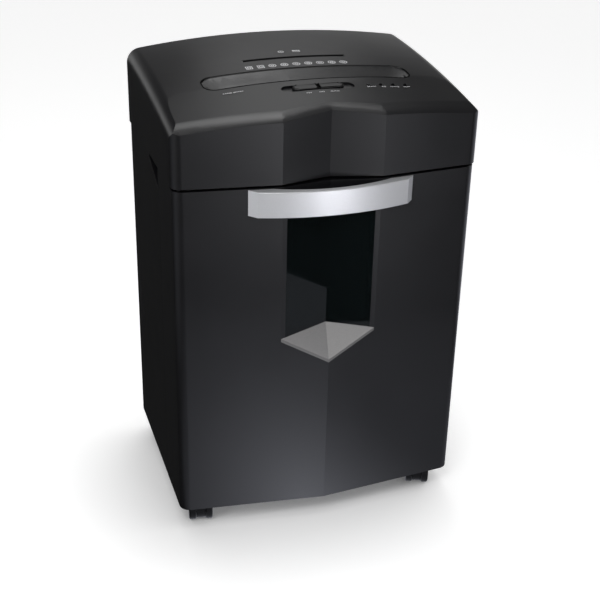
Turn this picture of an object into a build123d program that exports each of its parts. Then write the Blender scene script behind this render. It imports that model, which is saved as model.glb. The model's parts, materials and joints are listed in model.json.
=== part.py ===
from build123d import *
from math import acos, atan2, cos, hypot, pi, radians, sin, sqrt, tan
import os

os.makedirs("parts", exist_ok=True)

# Driving dimensions in millimetres: X to the right, Y to the back, Z up from the floor.
HEAD_WIDTH = 360.0
BODY_WIDTH = 357.0
REAR_Y = 141.0
CORNER_Y = -111.0
PROW = 18.5
BODY_BOTTOM = 30.0
SEAM_Z = 451.0
CROWN_TOP = 555.0
WALL = 3.0
CORNER_RADIUS = 13.0

# Crown of the head: one radius across, one front to back, highest behind the back edge.
CROWN_ACROSS = 1150.0
CROWN_ALONG = 1700.0
CROWN_PEAK_Y = 165.0
SIDE_ROUND = 18.0
CROWN_SWEEP = 12.0

# Front edge of the head: a roll that breaks over a crease at 45 degrees.
ROLL_RADIUS = 33.0
ROLL_CROWN = 1400.0
ROLL_END_SLOPE = radians(9.5)
CREASE_Z = 522.8
VALLEY_CREASE_Z = 527.5
ROLL_MID_SLOPE = radians(27.0)
ROLL_SWEEP = 18.0
ROLL_INSET_BACK = 1 / 3
ROLL_INSET_DOWN = 1.2
ROLL_LEAD = 12.0
ROLL_REACH = 330.0
NOTCH_RUN_START = 90.0

# V notch down the front of the head and of the bin.
NOTCH_HALF = 59.0
NOTCH_VALLEY_Y = -109.8
BIN_NOTCH_HALF = 58.0
BIN_VALLEY_Y = -113.5
SILL_CORNER_Z = 259.8
SILL_VALLEY_Z = 270.4
SILL_TIP_Z = 227.3
SILL_THICK = 4.0
NOTCH_RISE = 300.0

# Window in the notch of the bin.
WINDOW_HALF = 52.5
WINDOW_TOP = 430.0
WINDOW_FLANGE = 4.0
WINDOW_FLANGE_THICK = 1.5
WINDOW_FIT = 0.15
WINDOW_PLAN_Z = (240.0, 445.0)

# Bin: fascia with side returns, and the tub behind it.
FASCIA_TOP = 448.0
RETURN_END_Y = -30.5
LEDGE_Y = -97.0
LEDGE_HALF = 166.0
TUB_HALF = 158.0
TUB_FRONT = -100.0
TUB_REAR = 120.0
TUB_BOTTOM = 62.0
TUB_TOP = 425.0
TUB_WALL = 2.5
TUB_TAPER = 6.0
TUB_RIM = 3.0
TUB_CORNER = 14.0
TUB_WINDOW_MARGIN = (3.0, 12.0)
BOSS_X = 120.0
BOSS_HEIGHTS = (105.0, 395.0)
BOSS_RADIUS = 6.0

# Handle: a bowed bar with solid ends.
HANDLE_BOTTOM = 417.0
HANDLE_TOP = 447.0
HANDLE_END_X = 97.0
HANDLE_BAR_X = 87.5
HANDLE_BAR_Y = -130.0
HANDLE_APEX_Y = -143.0
HANDLE_GRIP = 8.0
HANDLE_FOOT_X = 66.0
HANDLE_SCREW_X = 82.0
HANDLE_SCREW_HEIGHTS = (424.0, 440.0)
HANDLE_EDGE = 0.8

# Cabinet: side walls, inset walls behind the fascia returns, base pan.
STEP_Y = -30.0
INSET_HALF = 172.5
INSET_FRONT = -106.0
HOLD_REAR_Y = 35.0
HOLD_DEPTH_Z = 28.0
HOLD_INNER_X = 166.0
HOLD_WALL = 2.5
REAR_EDGE = 2.0
PAN_BOTTOM = 46.0
PAN_TOP = 49.0
SKIRT_BOTTOM = 34.0
RUNNER_X = 110.0
RUNNER_WIDTH = 8.0
RUNNER_GAP = 0.3
RUNNER_Y = (-102.0, 112.0)
PAN_FIT = 0.1
PAN_RIB_YS = (-40.0, 20.0)
PAN_RIB = (280.0, 2.0, 8.0)

# Castors: pivot places, and the rest angle of each one about its pivot.
CASTORS = {
    "front_left": (-148.0, -79.0, 170.0),
    "front_right": (148.0, -79.0, 160.0),
    "rear_left": (-148.0, 108.0, 35.0),
    "rear_right": (148.0, 108.0, -15.0),
}
WHEEL_RADIUS = 16.0
WHEEL_WIDTH = 8.8
WHEEL_OFFSET = 10.2
WHEEL_EDGE = 1.2
WHEEL_DISH = (5.0, 11.0, 1.2)
AXLE_INSET = 1.5
CASTOR_TRAIL = 9.0
HOOD_RADIUS = 14.4
HOOD_WIDTH = 10.6
PIVOT_RADIUS = 10.5
PIVOT_TOP = 45.0
PIVOT_BOTTOM = 32.8
NECK = ((-8.5, 34.0), (18.0, 25.0), (9.0, 12.0), (-6.5, 20.0))
NECK_ROD_BOTTOM = 22.0
STEM_BOTTOM = 36.0
STEM_RADIUS = 4.0
STEM_TOP = 58.0
STEM_CHAMFER = 1.0
SOCKET_RADIUS = 6.0
SOCKET_BOSS_RADIUS = 10.0
SOCKET_TOP = 60.0
AXLE_RADIUS = 2.5
RUNNING_FIT = 0.05

# Paper entry and disc chute.
ENTRY_HALF = 124.5
ENTRY_FRONT = -40.7
ENTRY_REAR = -1.5
ENTRY_CORNER = 15.0
ENTRY_RIM = 1.3
ENTRY_GAP = 0.2
FUNNEL_DEPTH = 11.0
FUNNEL_WALL = 3.0
FUNNEL_LIP = 4.0
FUNNEL_TOE_Y = -31.3
BOWL_LIP = 1.2
ENTRY_SWEEP = 14.0
SLOT_HALF = 112.5
SLOT_FRONT = -38.5
SLOT_REAR = -33.5
THROAT_BOTTOM = 503.0
THROAT_REAR_BOTTOM = 511.0
THROAT_WALL = 2.2
THROAT_END = 2.0
DISC_SLOT_HALF = 62.5
DISC_SLOT_Y = 31.5
DISC_SLOT_GAP = 6.0
CHUTE_START = (31.5, 543.0)
CHUTE_END = (-24.5, 508.0)
CHUTE_GAP = 4.6
CHUTE_WALL = 1.5
CHUTE_LEAD = 5.0
CHUTE_OVERRUN = 20.0
CHUTE_FIT = 0.1
MOUTH_LOW = 538.0
MOUTH_FLOOR = 541.5

# Switch and lamps, in a plane that follows the slope of the crown.
SWITCH_Y = -61.0
TRACK_LENGTH = 86.0
TRACK_WIDTH = 15.6
TRACK_DEPTH = 3.2
KNOB_LENGTH = 60.0
KNOB_WIDTH = 12.8
KNOB_HEIGHT = 1.0
KNOB_SINK = 2.8
KNOB_TRAVEL = 12.0
KNOB_EDGE = 0.6
KNOB_GROOVE = (2.0, 13.0, 1.6)
KNOB_STEM = (8.0, 4.4, 10.0)
KNOB_STEM_MID = -6.0
STEM_SLOT = (11.0 + 2 * KNOB_TRAVEL, 6.0)
STEM_SLOT_DEPTH = 12.0
TRACK_PAD = (100.0, 26.0, 5.0)
TRACK_PAD_MID = -3.5
SWITCH_BODY = (48.0, 15.0, 10.4)
SWITCH_BODY_MID = -11.2
SWITCH_CAVITY = (10.0 + 2 * KNOB_TRAVEL, 6.0, 8.0)
SWITCH_CAVITY_MID = -9.0
LAMP_XS = (60.0, 75.0, 90.0, 105.0)
LAMP_RADIUS = 2.0
LAMP_GAP = 0.2
LAMP_PROUD = 0.4
LAMP_EDGE = 0.6
LAMP_FOOT = 16.4
LAMP_BOARD = (150.0, 18.0, 1.6)
LAMP_BOARD_X = 42.0

# Cutters: two shafts with interleaved discs.
CUTTER_Z = 480.0
CUTTER_GAP = 36.0
CUTTER_MID_Y = -36.0
DISC_RADIUS = 19.5
DISC_THICK = 3.6
DISC_PITCH = 8.0
DISC_COUNT = 28
DISC_HOOKS = 6
HOOK_PROFILE = ((0.0, 0.0), (0.08, 3.0), (0.28, 0.6), (0.52, 0.0), (0.76, 0.0))
DISCS_PER_TURN = 14
FINGER_GAP = 0.7
FINGER_START = 6.0
FINGER_HALF = 7.0
COMB_BAR = (22.0, 28.0)
COMB_HALF = 8.0
CORE_GAP = 0.6
CORE_RADIUS = 14.0
CORE_HALF = 113.5
JOURNAL_RADIUS = 6.0
SHAFT_LEFT_X = -133.0
FRONT_SHAFT_RIGHT_X = 121.0
REAR_SHAFT_RIGHT_X = 133.0
BUSH_RADIUS = 9.0
PLATE_INNER_X = 115.0
PLATE_THICK = 3.0
PLATE_FRONT = -94.0
PLATE_LOW_TOP = 506.0
PLATE_STEP = (-10.0, 0.0)
PLATE_REAR = {-1: 16.0, 1: 78.0}
PLATE_TOP = {-1: 518.0, 1: 530.0}
FOOT_HALF = 7.0
PRESS_FIT = 0.02
TIE_ROD_RADIUS = 4.0
BUSH_INNER = 0.6
BUSH_OUTER = 1.5

# Gears: stub teeth at 25 degrees, with backlash.
MODULE = 1.0
PRESSURE_ANGLE = radians(25.0)
ADDENDUM = 0.75
DEDENDUM = 1.0
BACKLASH = 0.24
SYNC_TEETH = 36
OUTPUT_TEETH = 49
PINION_TEETH = 14
REDUCTION_TEETH = 56
REDUCTION_ANGLE = radians(30.0)
GEAR_WIDTH = 12.0
GEAR_START_X = 121.0
SYNC_WIDTH = 10.0
SYNC_START_X = -131.0
BIG_WIDTH = 10.0
BIG_START_X = 134.5
PINION_WIDTH = 11.0
WEB_DEPTH = 3.0
OUTPUT_WEB = (10.0, 19.0)
BIG_WEB = (9.0, 23.0)
ROOT_RELIEF = 0.1
FLANK_SHARES = (0.0, 0.5, 1.0)
REDUCTION_AXLE_RADIUS = 4.0
REDUCTION_COLLAR_RADIUS = 6.0
AXLE_END_X = 148.0
AXLE_CLIP = (145.5, 146.8)

# Motor.
MOTOR_RADIUS = 29.0
MOTOR_LENGTH = 108.0
MOTOR_SHAFT_RADIUS = 3.0
MOTOR_SHAFT_INSIDE = 18.0
MOTOR_SHAFT_END_X = 146.0
MOTOR_NOSE_RADIUS = 9.0
MOTOR_NOSE = 4.0
MOTOR_EDGE = 2.0
BELL_STEP = 3.0
BELL_LENGTH = 14.0
BELL_EDGE = 5.0
BELL_BOSS = (8.0, 5.0)

# Fasteners.
SCREW_RADIUS = 1.75
SCREW_HEAD_RADIUS = 3.6
SCREW_HEAD = 2.4
SCREW_CLEARANCE = 0.05

# Heights clear of the head, for forms and cuts that run past it.
FORM_LOW = SEAM_Z - 60.0
CLEAR_LOW = 490.0
CLEAR_HIGH = 590.0

FRONT_CUTTER_Y = CUTTER_MID_Y - CUTTER_GAP / 2
REAR_CUTTER_Y = CUTTER_MID_Y + CUTTER_GAP / 2
REDUCTION_REACH = MODULE * (OUTPUT_TEETH + PINION_TEETH) / 2
REDUCTION_Y = REAR_CUTTER_Y + REDUCTION_REACH * cos(REDUCTION_ANGLE)
REDUCTION_Z = CUTTER_Z + REDUCTION_REACH * sin(REDUCTION_ANGLE)
MOTOR_Y = REDUCTION_Y + MODULE * (REDUCTION_TEETH + PINION_TEETH) / 2
MOTOR_Z = REDUCTION_Z


def save(name, *solids):
    shape = solids[0] if len(solids) == 1 else Compound(list(solids))
    export_step(shape, f"parts/{name}.step")


def block(x0, x1, y0, y1, z0, z1):
    centre = ((x0 + x1) / 2, (y0 + y1) / 2, (z0 + z1) / 2)
    return Pos(*centre) * Box(x1 - x0, y1 - y0, z1 - z0)


def rod_x(x0, x1, y, z, radius):
    return Pos((x0 + x1) / 2, y, z) * Rot(0, 90, 0) * Cylinder(radius, x1 - x0)


def rod_y(x, y0, y1, z, radius):
    return Pos(x, (y0 + y1) / 2, z) * Rot(90, 0, 0) * Cylinder(radius, y1 - y0)


def rod_z(x, y, z0, z1, radius):
    return Pos(x, y, (z0 + z1) / 2) * Cylinder(radius, z1 - z0)


def outline(points):
    return make_face(Polyline(*points, close=True))


def plan_prism(points, z0, z1):
    return extrude(outline([(x, y, z0) for x, y in points]), amount=z1 - z0, dir=(0, 0, 1))


def side_prism(points, x0, x1):
    return extrude(outline([(x0, y, z) for y, z in points]), amount=x1 - x0, dir=(1, 0, 0))


def front_prism(points, y0, y1):
    return extrude(outline([(x, y0, z) for x, z in points]), amount=y1 - y0, dir=(0, 1, 0))


def rounded_plan(x0, x1, y0, y1, z0, z1, radius):
    face = Pos((x0 + x1) / 2, (y0 + y1) / 2, z0) * RectangleRounded(x1 - x0, y1 - y0, radius)
    return extrude(face, amount=z1 - z0, dir=(0, 0, 1))


def both_sides(solid):
    return solid + mirror(solid, about=Plane.YZ)


def upright_edges(solid, x, y):
    return [e for e in solid.edges().filter_by(Axis.Z) if hypot(e.center().X - x, e.center().Y - y) < 0.1]


def crown_height(x, y):
    return CROWN_TOP - x * x / (2 * CROWN_ACROSS) - (CROWN_PEAK_Y - y) ** 2 / (2 * CROWN_ALONG)


# Cutting head: the outer form, and the same form set in for the hollow.
def crown_form(inset):
    half = HEAD_WIDTH / 2 - inset
    top = CROWN_TOP - inset
    across = CROWN_ACROSS - inset
    blend = SIDE_ROUND - inset
    middle = top - across
    blend_z = middle + sqrt((across - blend) ** 2 - (half - blend) ** 2)
    lean = atan2(half - blend, blend_z - middle)
    shoulder = (across * sin(lean), middle + across * cos(lean))
    turn = (pi / 2 - lean) / 2 + lean
    bend = (half - blend + blend * sin(turn), blend_z + blend * cos(turn))
    y = CROWN_PEAK_Y
    low = FORM_LOW
    edges = Polyline((-half, y, blend_z), (-half, y, low), (half, y, low), (half, y, blend_z))
    edges += ThreePointArc((half, y, blend_z), (bend[0], y, bend[1]), (shoulder[0], y, shoulder[1]))
    edges += ThreePointArc((shoulder[0], y, shoulder[1]), (0, y, top), (-shoulder[0], y, shoulder[1]))
    edges += ThreePointArc((-shoulder[0], y, shoulder[1]), (-bend[0], y, bend[1]), (-half, y, blend_z))
    axis = Axis((0, y, CROWN_TOP - CROWN_ALONG), (1, 0, 0))
    return revolve(make_face(edges), axis=axis, revolution_arc=CROWN_SWEEP)


def roll_face(foot, inward, crease_z, inset):
    shift_s = ROLL_INSET_BACK * inset
    shift_z = -ROLL_INSET_DOWN * inset

    def at(s, z):
        s += shift_s
        return (foot[0] + inward[0] * s, foot[1] + inward[1] * s, z + shift_z)

    def on_roll(slope):
        s = ROLL_RADIUS * (sin(pi / 4) - sin(slope))
        z = crease_z + ROLL_RADIUS * (cos(slope) - cos(pi / 4))
        return s, z

    lead = ROLL_LEAD
    reach = ROLL_REACH
    low = FORM_LOW
    end_s, end_z = on_roll(ROLL_END_SLOPE)
    far_z = end_z + (reach - end_s) * tan(ROLL_END_SLOPE)
    edges = Polyline(at(reach, far_z), at(reach, low), at(-lead, low), at(-lead, crease_z - lead))
    edges += Line(at(-lead, crease_z - lead), at(0, crease_z))
    edges += ThreePointArc(at(0, crease_z), at(*on_roll(ROLL_MID_SLOPE)), at(end_s, end_z))
    edges += Line(at(end_s, end_z), at(reach, far_z))
    return make_face(edges)


def outer_roll(inset):
    along = Vector(-HEAD_WIDTH / 2, PROW, 0).normalized()
    inward = Vector(along.Y, -along.X, 0)
    face = roll_face((0, CORNER_Y - PROW), (inward.X, inward.Y), CREASE_Z, inset)
    axis = Axis((0, CORNER_Y - PROW, CREASE_Z - ROLL_CROWN), (inward.X, inward.Y, 0))
    return revolve(face.rotate(axis, -ROLL_SWEEP / 2), axis=axis, revolution_arc=ROLL_SWEEP)


def notch_roll(inset):
    crease_y = CORNER_Y - PROW * (1 - 2 * NOTCH_HALF / HEAD_WIDTH)
    run = Vector(-NOTCH_HALF, crease_y - NOTCH_VALLEY_Y, 0)
    along = run.normalized()
    inward = Vector(along.Y, -along.X, 0)
    crease_end_z = CREASE_Z - run.length ** 2 / (2 * ROLL_CROWN)
    fall = (VALLEY_CREASE_Z - crease_end_z) / run.length
    start = NOTCH_RUN_START
    foot = (-along.X * start, NOTCH_VALLEY_Y - along.Y * start)
    face = roll_face(foot, (inward.X, inward.Y), VALLEY_CREASE_Z + fall * start, inset)
    return extrude(face, amount=ROLL_REACH * sqrt(1 + fall * fall), dir=(along.X, along.Y, -fall))


def head_form(inset, bottom):
    half = HEAD_WIDTH / 2 - inset
    outer_slope = 2 * PROW / HEAD_WIDTH
    crease_y = CORNER_Y - PROW + outer_slope * NOTCH_HALF
    notch_slope = (NOTCH_VALLEY_Y - crease_y) / NOTCH_HALF
    apex = CORNER_Y - PROW + inset * hypot(1, outer_slope)
    valley = NOTCH_VALLEY_Y + inset * hypot(1, notch_slope)
    crease_x = (valley - apex) / (outer_slope + notch_slope)
    corner = (-half, apex + outer_slope * half)
    plan = [(0, REAR_Y - inset), (-half, REAR_Y - inset), corner]
    plan += [(-crease_x, apex + outer_slope * crease_x), (0, valley)]
    body = plan_prism(plan, bottom, CLEAR_HIGH)
    body = fillet(upright_edges(body, *corner), CORNER_RADIUS - inset)
    body = body & crown_form(inset) & outer_roll(inset) & notch_roll(inset)
    return both_sides(body)


HEAD = head_form(0, SEAM_Z)
HEAD_HOLLOW = head_form(WALL, SEAM_Z - 5)

# Plane of the switch: origin on the crown, normal to its slope.
SWITCH_SLOPE = (CROWN_PEAK_Y - SWITCH_Y) / CROWN_ALONG
SWITCH_PLANE = Plane(
    origin=(0, SWITCH_Y, crown_height(0, SWITCH_Y)),
    x_dir=(1, 0, 0),
    z_dir=(0, -SWITCH_SLOPE, 1),
)


def on_switch_plane(shape):
    return SWITCH_PLANE.location * shape


def capsule(length, width, low, high):
    return extrude(Pos(0, 0, low) * SlotOverall(length, width), amount=high - low, dir=(0, 0, 1))


# Screws: a pan head, a shank, and the hole that takes them.
def screw(start, direction, length, grow=0.0):
    head = Pos(0, 0, -SCREW_HEAD / 2) * Cylinder(SCREW_HEAD_RADIUS, SCREW_HEAD)
    shank = Pos(0, 0, length / 2) * Cylinder(SCREW_RADIUS + grow, length + 2 * grow)
    shape = shank if grow else head + shank
    return Plane(origin=start, z_dir=direction).location * shape


def screws(places, direction, length):
    return [screw(place, direction, length) for place in places]


def screw_holes(places, direction, length):
    return [screw(place, direction, length, SCREW_CLEARANCE) for place in places]


HEAD_SCREWS = [(x, y, SEAM_Z) for x in (-158.0, 158.0) for y in (-84.0, 118.0)]
HEAD_SCREW_LENGTH = 14.0
HEAD_BOSS_RADIUS = 6.0
FOOT_X = 125.0
FEET = {-1: (-84.0, 8.0), 1: (-84.0, 60.0)}
PLATE_SCREWS = [(side * FOOT_X, y, SEAM_Z + 2 * WALL) for side in FEET for y in FEET[side]]
PLATE_SCREW_LENGTH = 5.5
TRAY_TOP = SEAM_Z + WALL
TRAY_FRONT = -105.0
TRAY_FIT = 0.4
OUTLET_HALF = (114.0, 41.0)
OUTLET_SKIRT = 8.0
BOARD_POST_RADIUS = 3.5


# Top cover.
def top_cover():
    cover = HEAD - HEAD_HOLLOW
    pad = on_switch_plane(Pos(0, 0, TRACK_PAD_MID) * Box(*TRACK_PAD))
    cover += pad & HEAD
    for x, y, z in HEAD_SCREWS:
        cover += rod_z(x, y, TRAY_TOP, CROWN_TOP, HEAD_BOSS_RADIUS) & HEAD
    entry_y = (ENTRY_FRONT, ENTRY_REAR)
    cover -= rounded_plan(-ENTRY_HALF, ENTRY_HALF, *entry_y, CLEAR_LOW, CLEAR_HIGH, ENTRY_CORNER)
    slot_half = DISC_SLOT_GAP / 2 + CHUTE_WALL
    mouth = DISC_SLOT_HALF + CHUTE_WALL
    slot_y = (DISC_SLOT_Y - slot_half, DISC_SLOT_Y + slot_half)
    cover -= block(-mouth, mouth, *slot_y, CLEAR_LOW, CLEAR_HIGH)
    cover -= on_switch_plane(capsule(TRACK_LENGTH, TRACK_WIDTH, -TRACK_DEPTH, KNOB_HEIGHT))
    cover -= on_switch_plane(capsule(*STEM_SLOT, -STEM_SLOT_DEPTH, 0))
    for x in LAMP_XS:
        cover -= on_switch_plane(Pos(x, 0, 0) * Cylinder(LAMP_RADIUS + LAMP_GAP, 2 * LAMP_FOOT))
    cover -= rod_y(CORD_X, REAR_Y - 10, REAR_Y + 5, CORD_Z, CORD_BODY_RADIUS + 0.1)
    cover -= screw_holes(HEAD_SCREWS, (0, 0, 1), HEAD_SCREW_LENGTH)
    return cover


# Cord gland in the back of the head.
CORD_X = -118.0
CORD_Z = 474.0
CORD_BODY_RADIUS = 9.0
CORD_FLANGE_RADIUS = 13.0
CORD_FLANGE = 2.0
CORD_BODY_LENGTH = 16.0
CORD_NUT = 5.0
CORD_MOUTH_RADIUS = 4.5
CORD_MOUTH_DEPTH = 1.5


def cord_gland():
    gland = rod_y(CORD_X, REAR_Y, REAR_Y + CORD_FLANGE, CORD_Z, CORD_FLANGE_RADIUS)
    gland += rod_y(CORD_X, REAR_Y - CORD_BODY_LENGTH, REAR_Y, CORD_Z, CORD_BODY_RADIUS)
    nut = RegularPolygon(CORD_FLANGE_RADIUS, 6)
    nut_plane = Plane(origin=(CORD_X, REAR_Y - WALL - 0.1, CORD_Z), z_dir=(0, -1, 0))
    gland += nut_plane.location * extrude(nut, amount=CORD_NUT)
    mouth = REAR_Y - CORD_MOUTH_DEPTH
    return gland - rod_y(CORD_X, mouth, REAR_Y + 2 * CORD_FLANGE, CORD_Z, CORD_MOUTH_RADIUS)


# Paper entry: a funnel whose floor follows the crown, and the throat under it.
def crowned(points):
    axis = Axis((0, 0, CROWN_TOP - CROWN_ACROSS), (0, 1, 0))
    face = outline([(0, y, z) for y, z in points])
    return revolve(face.rotate(axis, -ENTRY_SWEEP / 2), axis=axis, revolution_arc=ENTRY_SWEEP)


def paper_entry():
    half = ENTRY_HALF - ENTRY_GAP
    front = ENTRY_FRONT + ENTRY_GAP
    rear = ENTRY_REAR - ENTRY_GAP
    high = CLEAR_HIGH
    rim_z = crown_height(0, rear)
    floor_z = rim_z - FUNNEL_DEPTH
    under_z = floor_z - FUNNEL_WALL
    throat_top = floor_z - 1
    throat_rear = SLOT_REAR + THROAT_WALL
    throat_half = SLOT_HALF + THROAT_END
    skin = [(rear, high), (rear, rim_z - FUNNEL_LIP), (FUNNEL_TOE_Y, under_z), (front, under_z)]
    plan = rounded_plan(-half, half, front, rear, CLEAR_LOW, high, ENTRY_CORNER)
    body = crowned(skin + [(front, high)]) & plan & HEAD
    body += block(-throat_half, throat_half, SLOT_REAR - 1, throat_rear, THROAT_REAR_BOTTOM, throat_top)
    body += block(-throat_half, throat_half, front, SLOT_FRONT + 1, THROAT_BOTTOM, throat_top)
    for side in (-1, 1):
        x0, x1 = sorted((side * SLOT_HALF, side * throat_half))
        body += block(x0, x1, front, throat_rear, THROAT_REAR_BOTTOM, throat_top)
    inner_rear = rear - ENTRY_RIM
    bowl = [(inner_rear, high), (inner_rear, rim_z - BOWL_LIP), (SLOT_REAR, floor_z), (SLOT_FRONT, floor_z)]
    bowl = crowned(bowl + [(SLOT_FRONT, high)])
    inner_half = half - ENTRY_RIM
    corner = ENTRY_CORNER - ENTRY_RIM
    bowl = bowl & rounded_plan(-inner_half, inner_half, SLOT_FRONT, inner_rear, CLEAR_LOW, high, corner)
    end_z = crown_height(inner_half, SLOT_REAR) - BOWL_LIP
    toe_z = floor_z - SLOT_HALF ** 2 / (2 * CROWN_ACROSS) - BOWL_LIP
    slopes = [(inner_half, high), (inner_half, end_z), (SLOT_HALF, toe_z)]
    slopes += [(-x, z) for x, z in reversed(slopes)]
    bowl = bowl & front_prism(slopes, SLOT_FRONT, inner_rear)
    return body - bowl - block(-SLOT_HALF, SLOT_HALF, SLOT_FRONT, SLOT_REAR, CLEAR_LOW, floor_z + FUNNEL_LIP)


# Disc chute: a flat mouth in the cover, and a sloping duct to the cutters.
def chute_section(half, extend):
    along = Vector(CHUTE_END[0] - CHUTE_START[0], CHUTE_END[1] - CHUTE_START[1], 0).normalized()
    across = (-along.Y * half, along.X * half)
    first = (CHUTE_START[0] - along.X * CHUTE_LEAD, CHUTE_START[1] - along.Y * CHUTE_LEAD)
    last = (CHUTE_END[0] + along.X * extend, CHUTE_END[1] + along.Y * extend)
    return [
        (first[0] + across[0], first[1] + across[1]),
        (last[0] + across[0], last[1] + across[1]),
        (last[0] - across[0], last[1] - across[1]),
        (first[0] - across[0], first[1] - across[1]),
    ]


def disc_chute():
    half = DISC_SLOT_HALF + CHUTE_WALL - CHUTE_FIT
    deep = DISC_SLOT_GAP / 2 + CHUTE_WALL - CHUTE_FIT
    body = block(-half, half, DISC_SLOT_Y - deep, DISC_SLOT_Y + deep, MOUTH_LOW, CLEAR_HIGH) & HEAD
    body += side_prism(chute_section(CHUTE_GAP / 2 + CHUTE_WALL, 0), -half, half)
    deep = DISC_SLOT_GAP / 2
    half = DISC_SLOT_HALF
    body -= block(-half, half, DISC_SLOT_Y - deep, DISC_SLOT_Y + deep, MOUTH_FLOOR, CLEAR_HIGH)
    return body - side_prism(chute_section(CHUTE_GAP / 2, CHUTE_OVERRUN), -half, half)


# Switch: sunk knob with its stem, body under the cover, lamps and their board.
def switch_knob():
    knob = capsule(KNOB_LENGTH, KNOB_WIDTH, -KNOB_SINK, KNOB_HEIGHT)
    knob = chamfer(knob.faces().sort_by(Axis.Z)[-1].edges(), KNOB_EDGE)
    knob -= Pos(0, 0, KNOB_HEIGHT) * Box(*KNOB_GROOVE)
    knob += Pos(0, 0, KNOB_STEM_MID) * Box(*KNOB_STEM)
    return on_switch_plane(knob)


def switch_body():
    body = Pos(0, 0, SWITCH_BODY_MID) * Box(*SWITCH_BODY)
    body -= Pos(0, 0, SWITCH_CAVITY_MID) * Box(*SWITCH_CAVITY)
    return on_switch_plane(body)


def indicator_board():
    return on_switch_plane(Pos(LAMP_BOARD_X, 0, -LAMP_FOOT - LAMP_BOARD[2] / 2) * Box(*LAMP_BOARD))


def indicator_lenses():
    lenses = []
    for x in LAMP_XS:
        top = LAMP_PROUD - x * x / (2 * CROWN_ACROSS)
        lens = Pos(x, 0, (top - LAMP_FOOT) / 2) * Cylinder(LAMP_RADIUS, top + LAMP_FOOT)
        lens = chamfer(lens.edges().sort_by(Axis.Z)[-1], LAMP_EDGE)
        lenses.append(on_switch_plane(lens))
    return lenses


# Head tray: floor of the head with the outlet under the cutters.
def head_tray():
    half = HEAD_WIDTH / 2 - WALL - TRAY_FIT
    tray = block(-half, half, TRAY_FRONT, REAR_Y - WALL - TRAY_FIT, SEAM_Z, TRAY_TOP)
    corners = upright_edges(tray, -half, TRAY_FRONT) + upright_edges(tray, half, TRAY_FRONT)
    tray = fillet(corners, CORNER_RADIUS)
    wide, deep = OUTLET_HALF
    low = SEAM_Z - OUTLET_SKIRT
    y0, y1 = CUTTER_MID_Y - deep, CUTTER_MID_Y + deep
    tray += block(-wide - WALL, wide + WALL, y0 - WALL, y1 + WALL, low, SEAM_Z)
    tray -= block(-wide, wide, y0, y1, low - 1, TRAY_TOP + 1)
    for x, y in BOARD_POSTS:
        tray += rod_z(x, y, TRAY_TOP, BOARD_Z, BOARD_POST_RADIUS)
    tray -= screw_holes(HEAD_SCREWS, (0, 0, 1), HEAD_SCREW_LENGTH)
    tray -= screw_holes(PLATE_SCREWS, (0, 0, -1), PLATE_SCREW_LENGTH)
    return tray


# Side plates with folded feet; the right one is taller behind, for the motor.
def side_plate(side):
    low = TRAY_TOP
    rear = PLATE_REAR[side]
    high = PLATE_TOP[side]
    profile = [(PLATE_FRONT, low), (rear, low), (rear, high), (PLATE_STEP[1], high)]
    profile += [(PLATE_STEP[0], PLATE_LOW_TOP), (PLATE_FRONT, PLATE_LOW_TOP)]
    x0, x1 = sorted((side * PLATE_INNER_X, side * (PLATE_INNER_X + PLATE_THICK)))
    plate = side_prism(profile, x0, x1)
    f0, f1 = sorted((side * PLATE_INNER_X, side * (FOOT_X + FOOT_HALF)))
    for y in FEET[side]:
        plate += block(f0, f1, y - FOOT_HALF, y + FOOT_HALF, low, low + WALL)
    for y in (FRONT_CUTTER_Y, REAR_CUTTER_Y):
        plate -= rod_x(x0 - 1, x1 + 1, y, CUTTER_Z, BUSH_RADIUS + PRESS_FIT)
    if side > 0:
        plate -= rod_x(x0 - 1, x1 + 1, MOTOR_Y, MOTOR_Z, MOTOR_NOSE_RADIUS + 0.5)
        plate -= rod_x(x0 - 1, x1 + 1, REDUCTION_Y, REDUCTION_Z, REDUCTION_AXLE_RADIUS + PRESS_FIT)
    return plate - screw_holes(PLATE_SCREWS, (0, 0, -1), PLATE_SCREW_LENGTH)


TIE_RODS = [(-88.0, 466.0), (-88.0, 498.0), (8.0, 462.0), (8.0, 510.0)]


def tie_rods():
    return [rod_x(-PLATE_INNER_X, PLATE_INNER_X, y, z, TIE_ROD_RADIUS) for y, z in TIE_RODS]


def cutter_bushes():
    bushes = []
    for side in (-1, 1):
        outer = PLATE_INNER_X + PLATE_THICK + BUSH_OUTER
        x0, x1 = sorted((side * (PLATE_INNER_X - BUSH_INNER), side * outer))
        for y in (FRONT_CUTTER_Y, REAR_CUTTER_Y):
            bush = rod_x(x0, x1, y, CUTTER_Z, BUSH_RADIUS)
            bushes.append(bush - rod_x(x0 - 1, x1 + 1, y, CUTTER_Z, JOURNAL_RADIUS + RUNNING_FIT))
    return bushes


# Cutters: hooked discs on a core, each disc turned a little against the last.
def across_shaft(x, y, z):
    return Plane(origin=(x, y, z), x_dir=(0, 1, 0), z_dir=(1, 0, 0))


def hooked_disc(turn):
    points = []
    step = 2 * pi / DISC_HOOKS
    for hook in range(DISC_HOOKS):
        start = turn + hook * step
        for share, depth in HOOK_PROFILE:
            angle = start + share * step
            radius = DISC_RADIUS - depth
            points.append((radius * cos(angle), radius * sin(angle), 0))
    return outline(points)


def cutter(y, first_x, right_x, hand):
    discs = []
    for count in range(DISC_COUNT):
        turn = hand * count * 2 * pi / DISC_HOOKS / DISCS_PER_TURN
        x = first_x + count * DISC_PITCH
        disc = extrude(hooked_disc(turn), amount=DISC_THICK)
        discs.append(across_shaft(x, y, CUTTER_Z).location * disc)
    shaft = rod_x(-CORE_HALF, CORE_HALF, y, CUTTER_Z, CORE_RADIUS)
    shaft += rod_x(SHAFT_LEFT_X, right_x, y, CUTTER_Z, JOURNAL_RADIUS)
    return shaft + discs


FIRST_DISC_X = -DISC_COUNT * DISC_PITCH / 2


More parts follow.
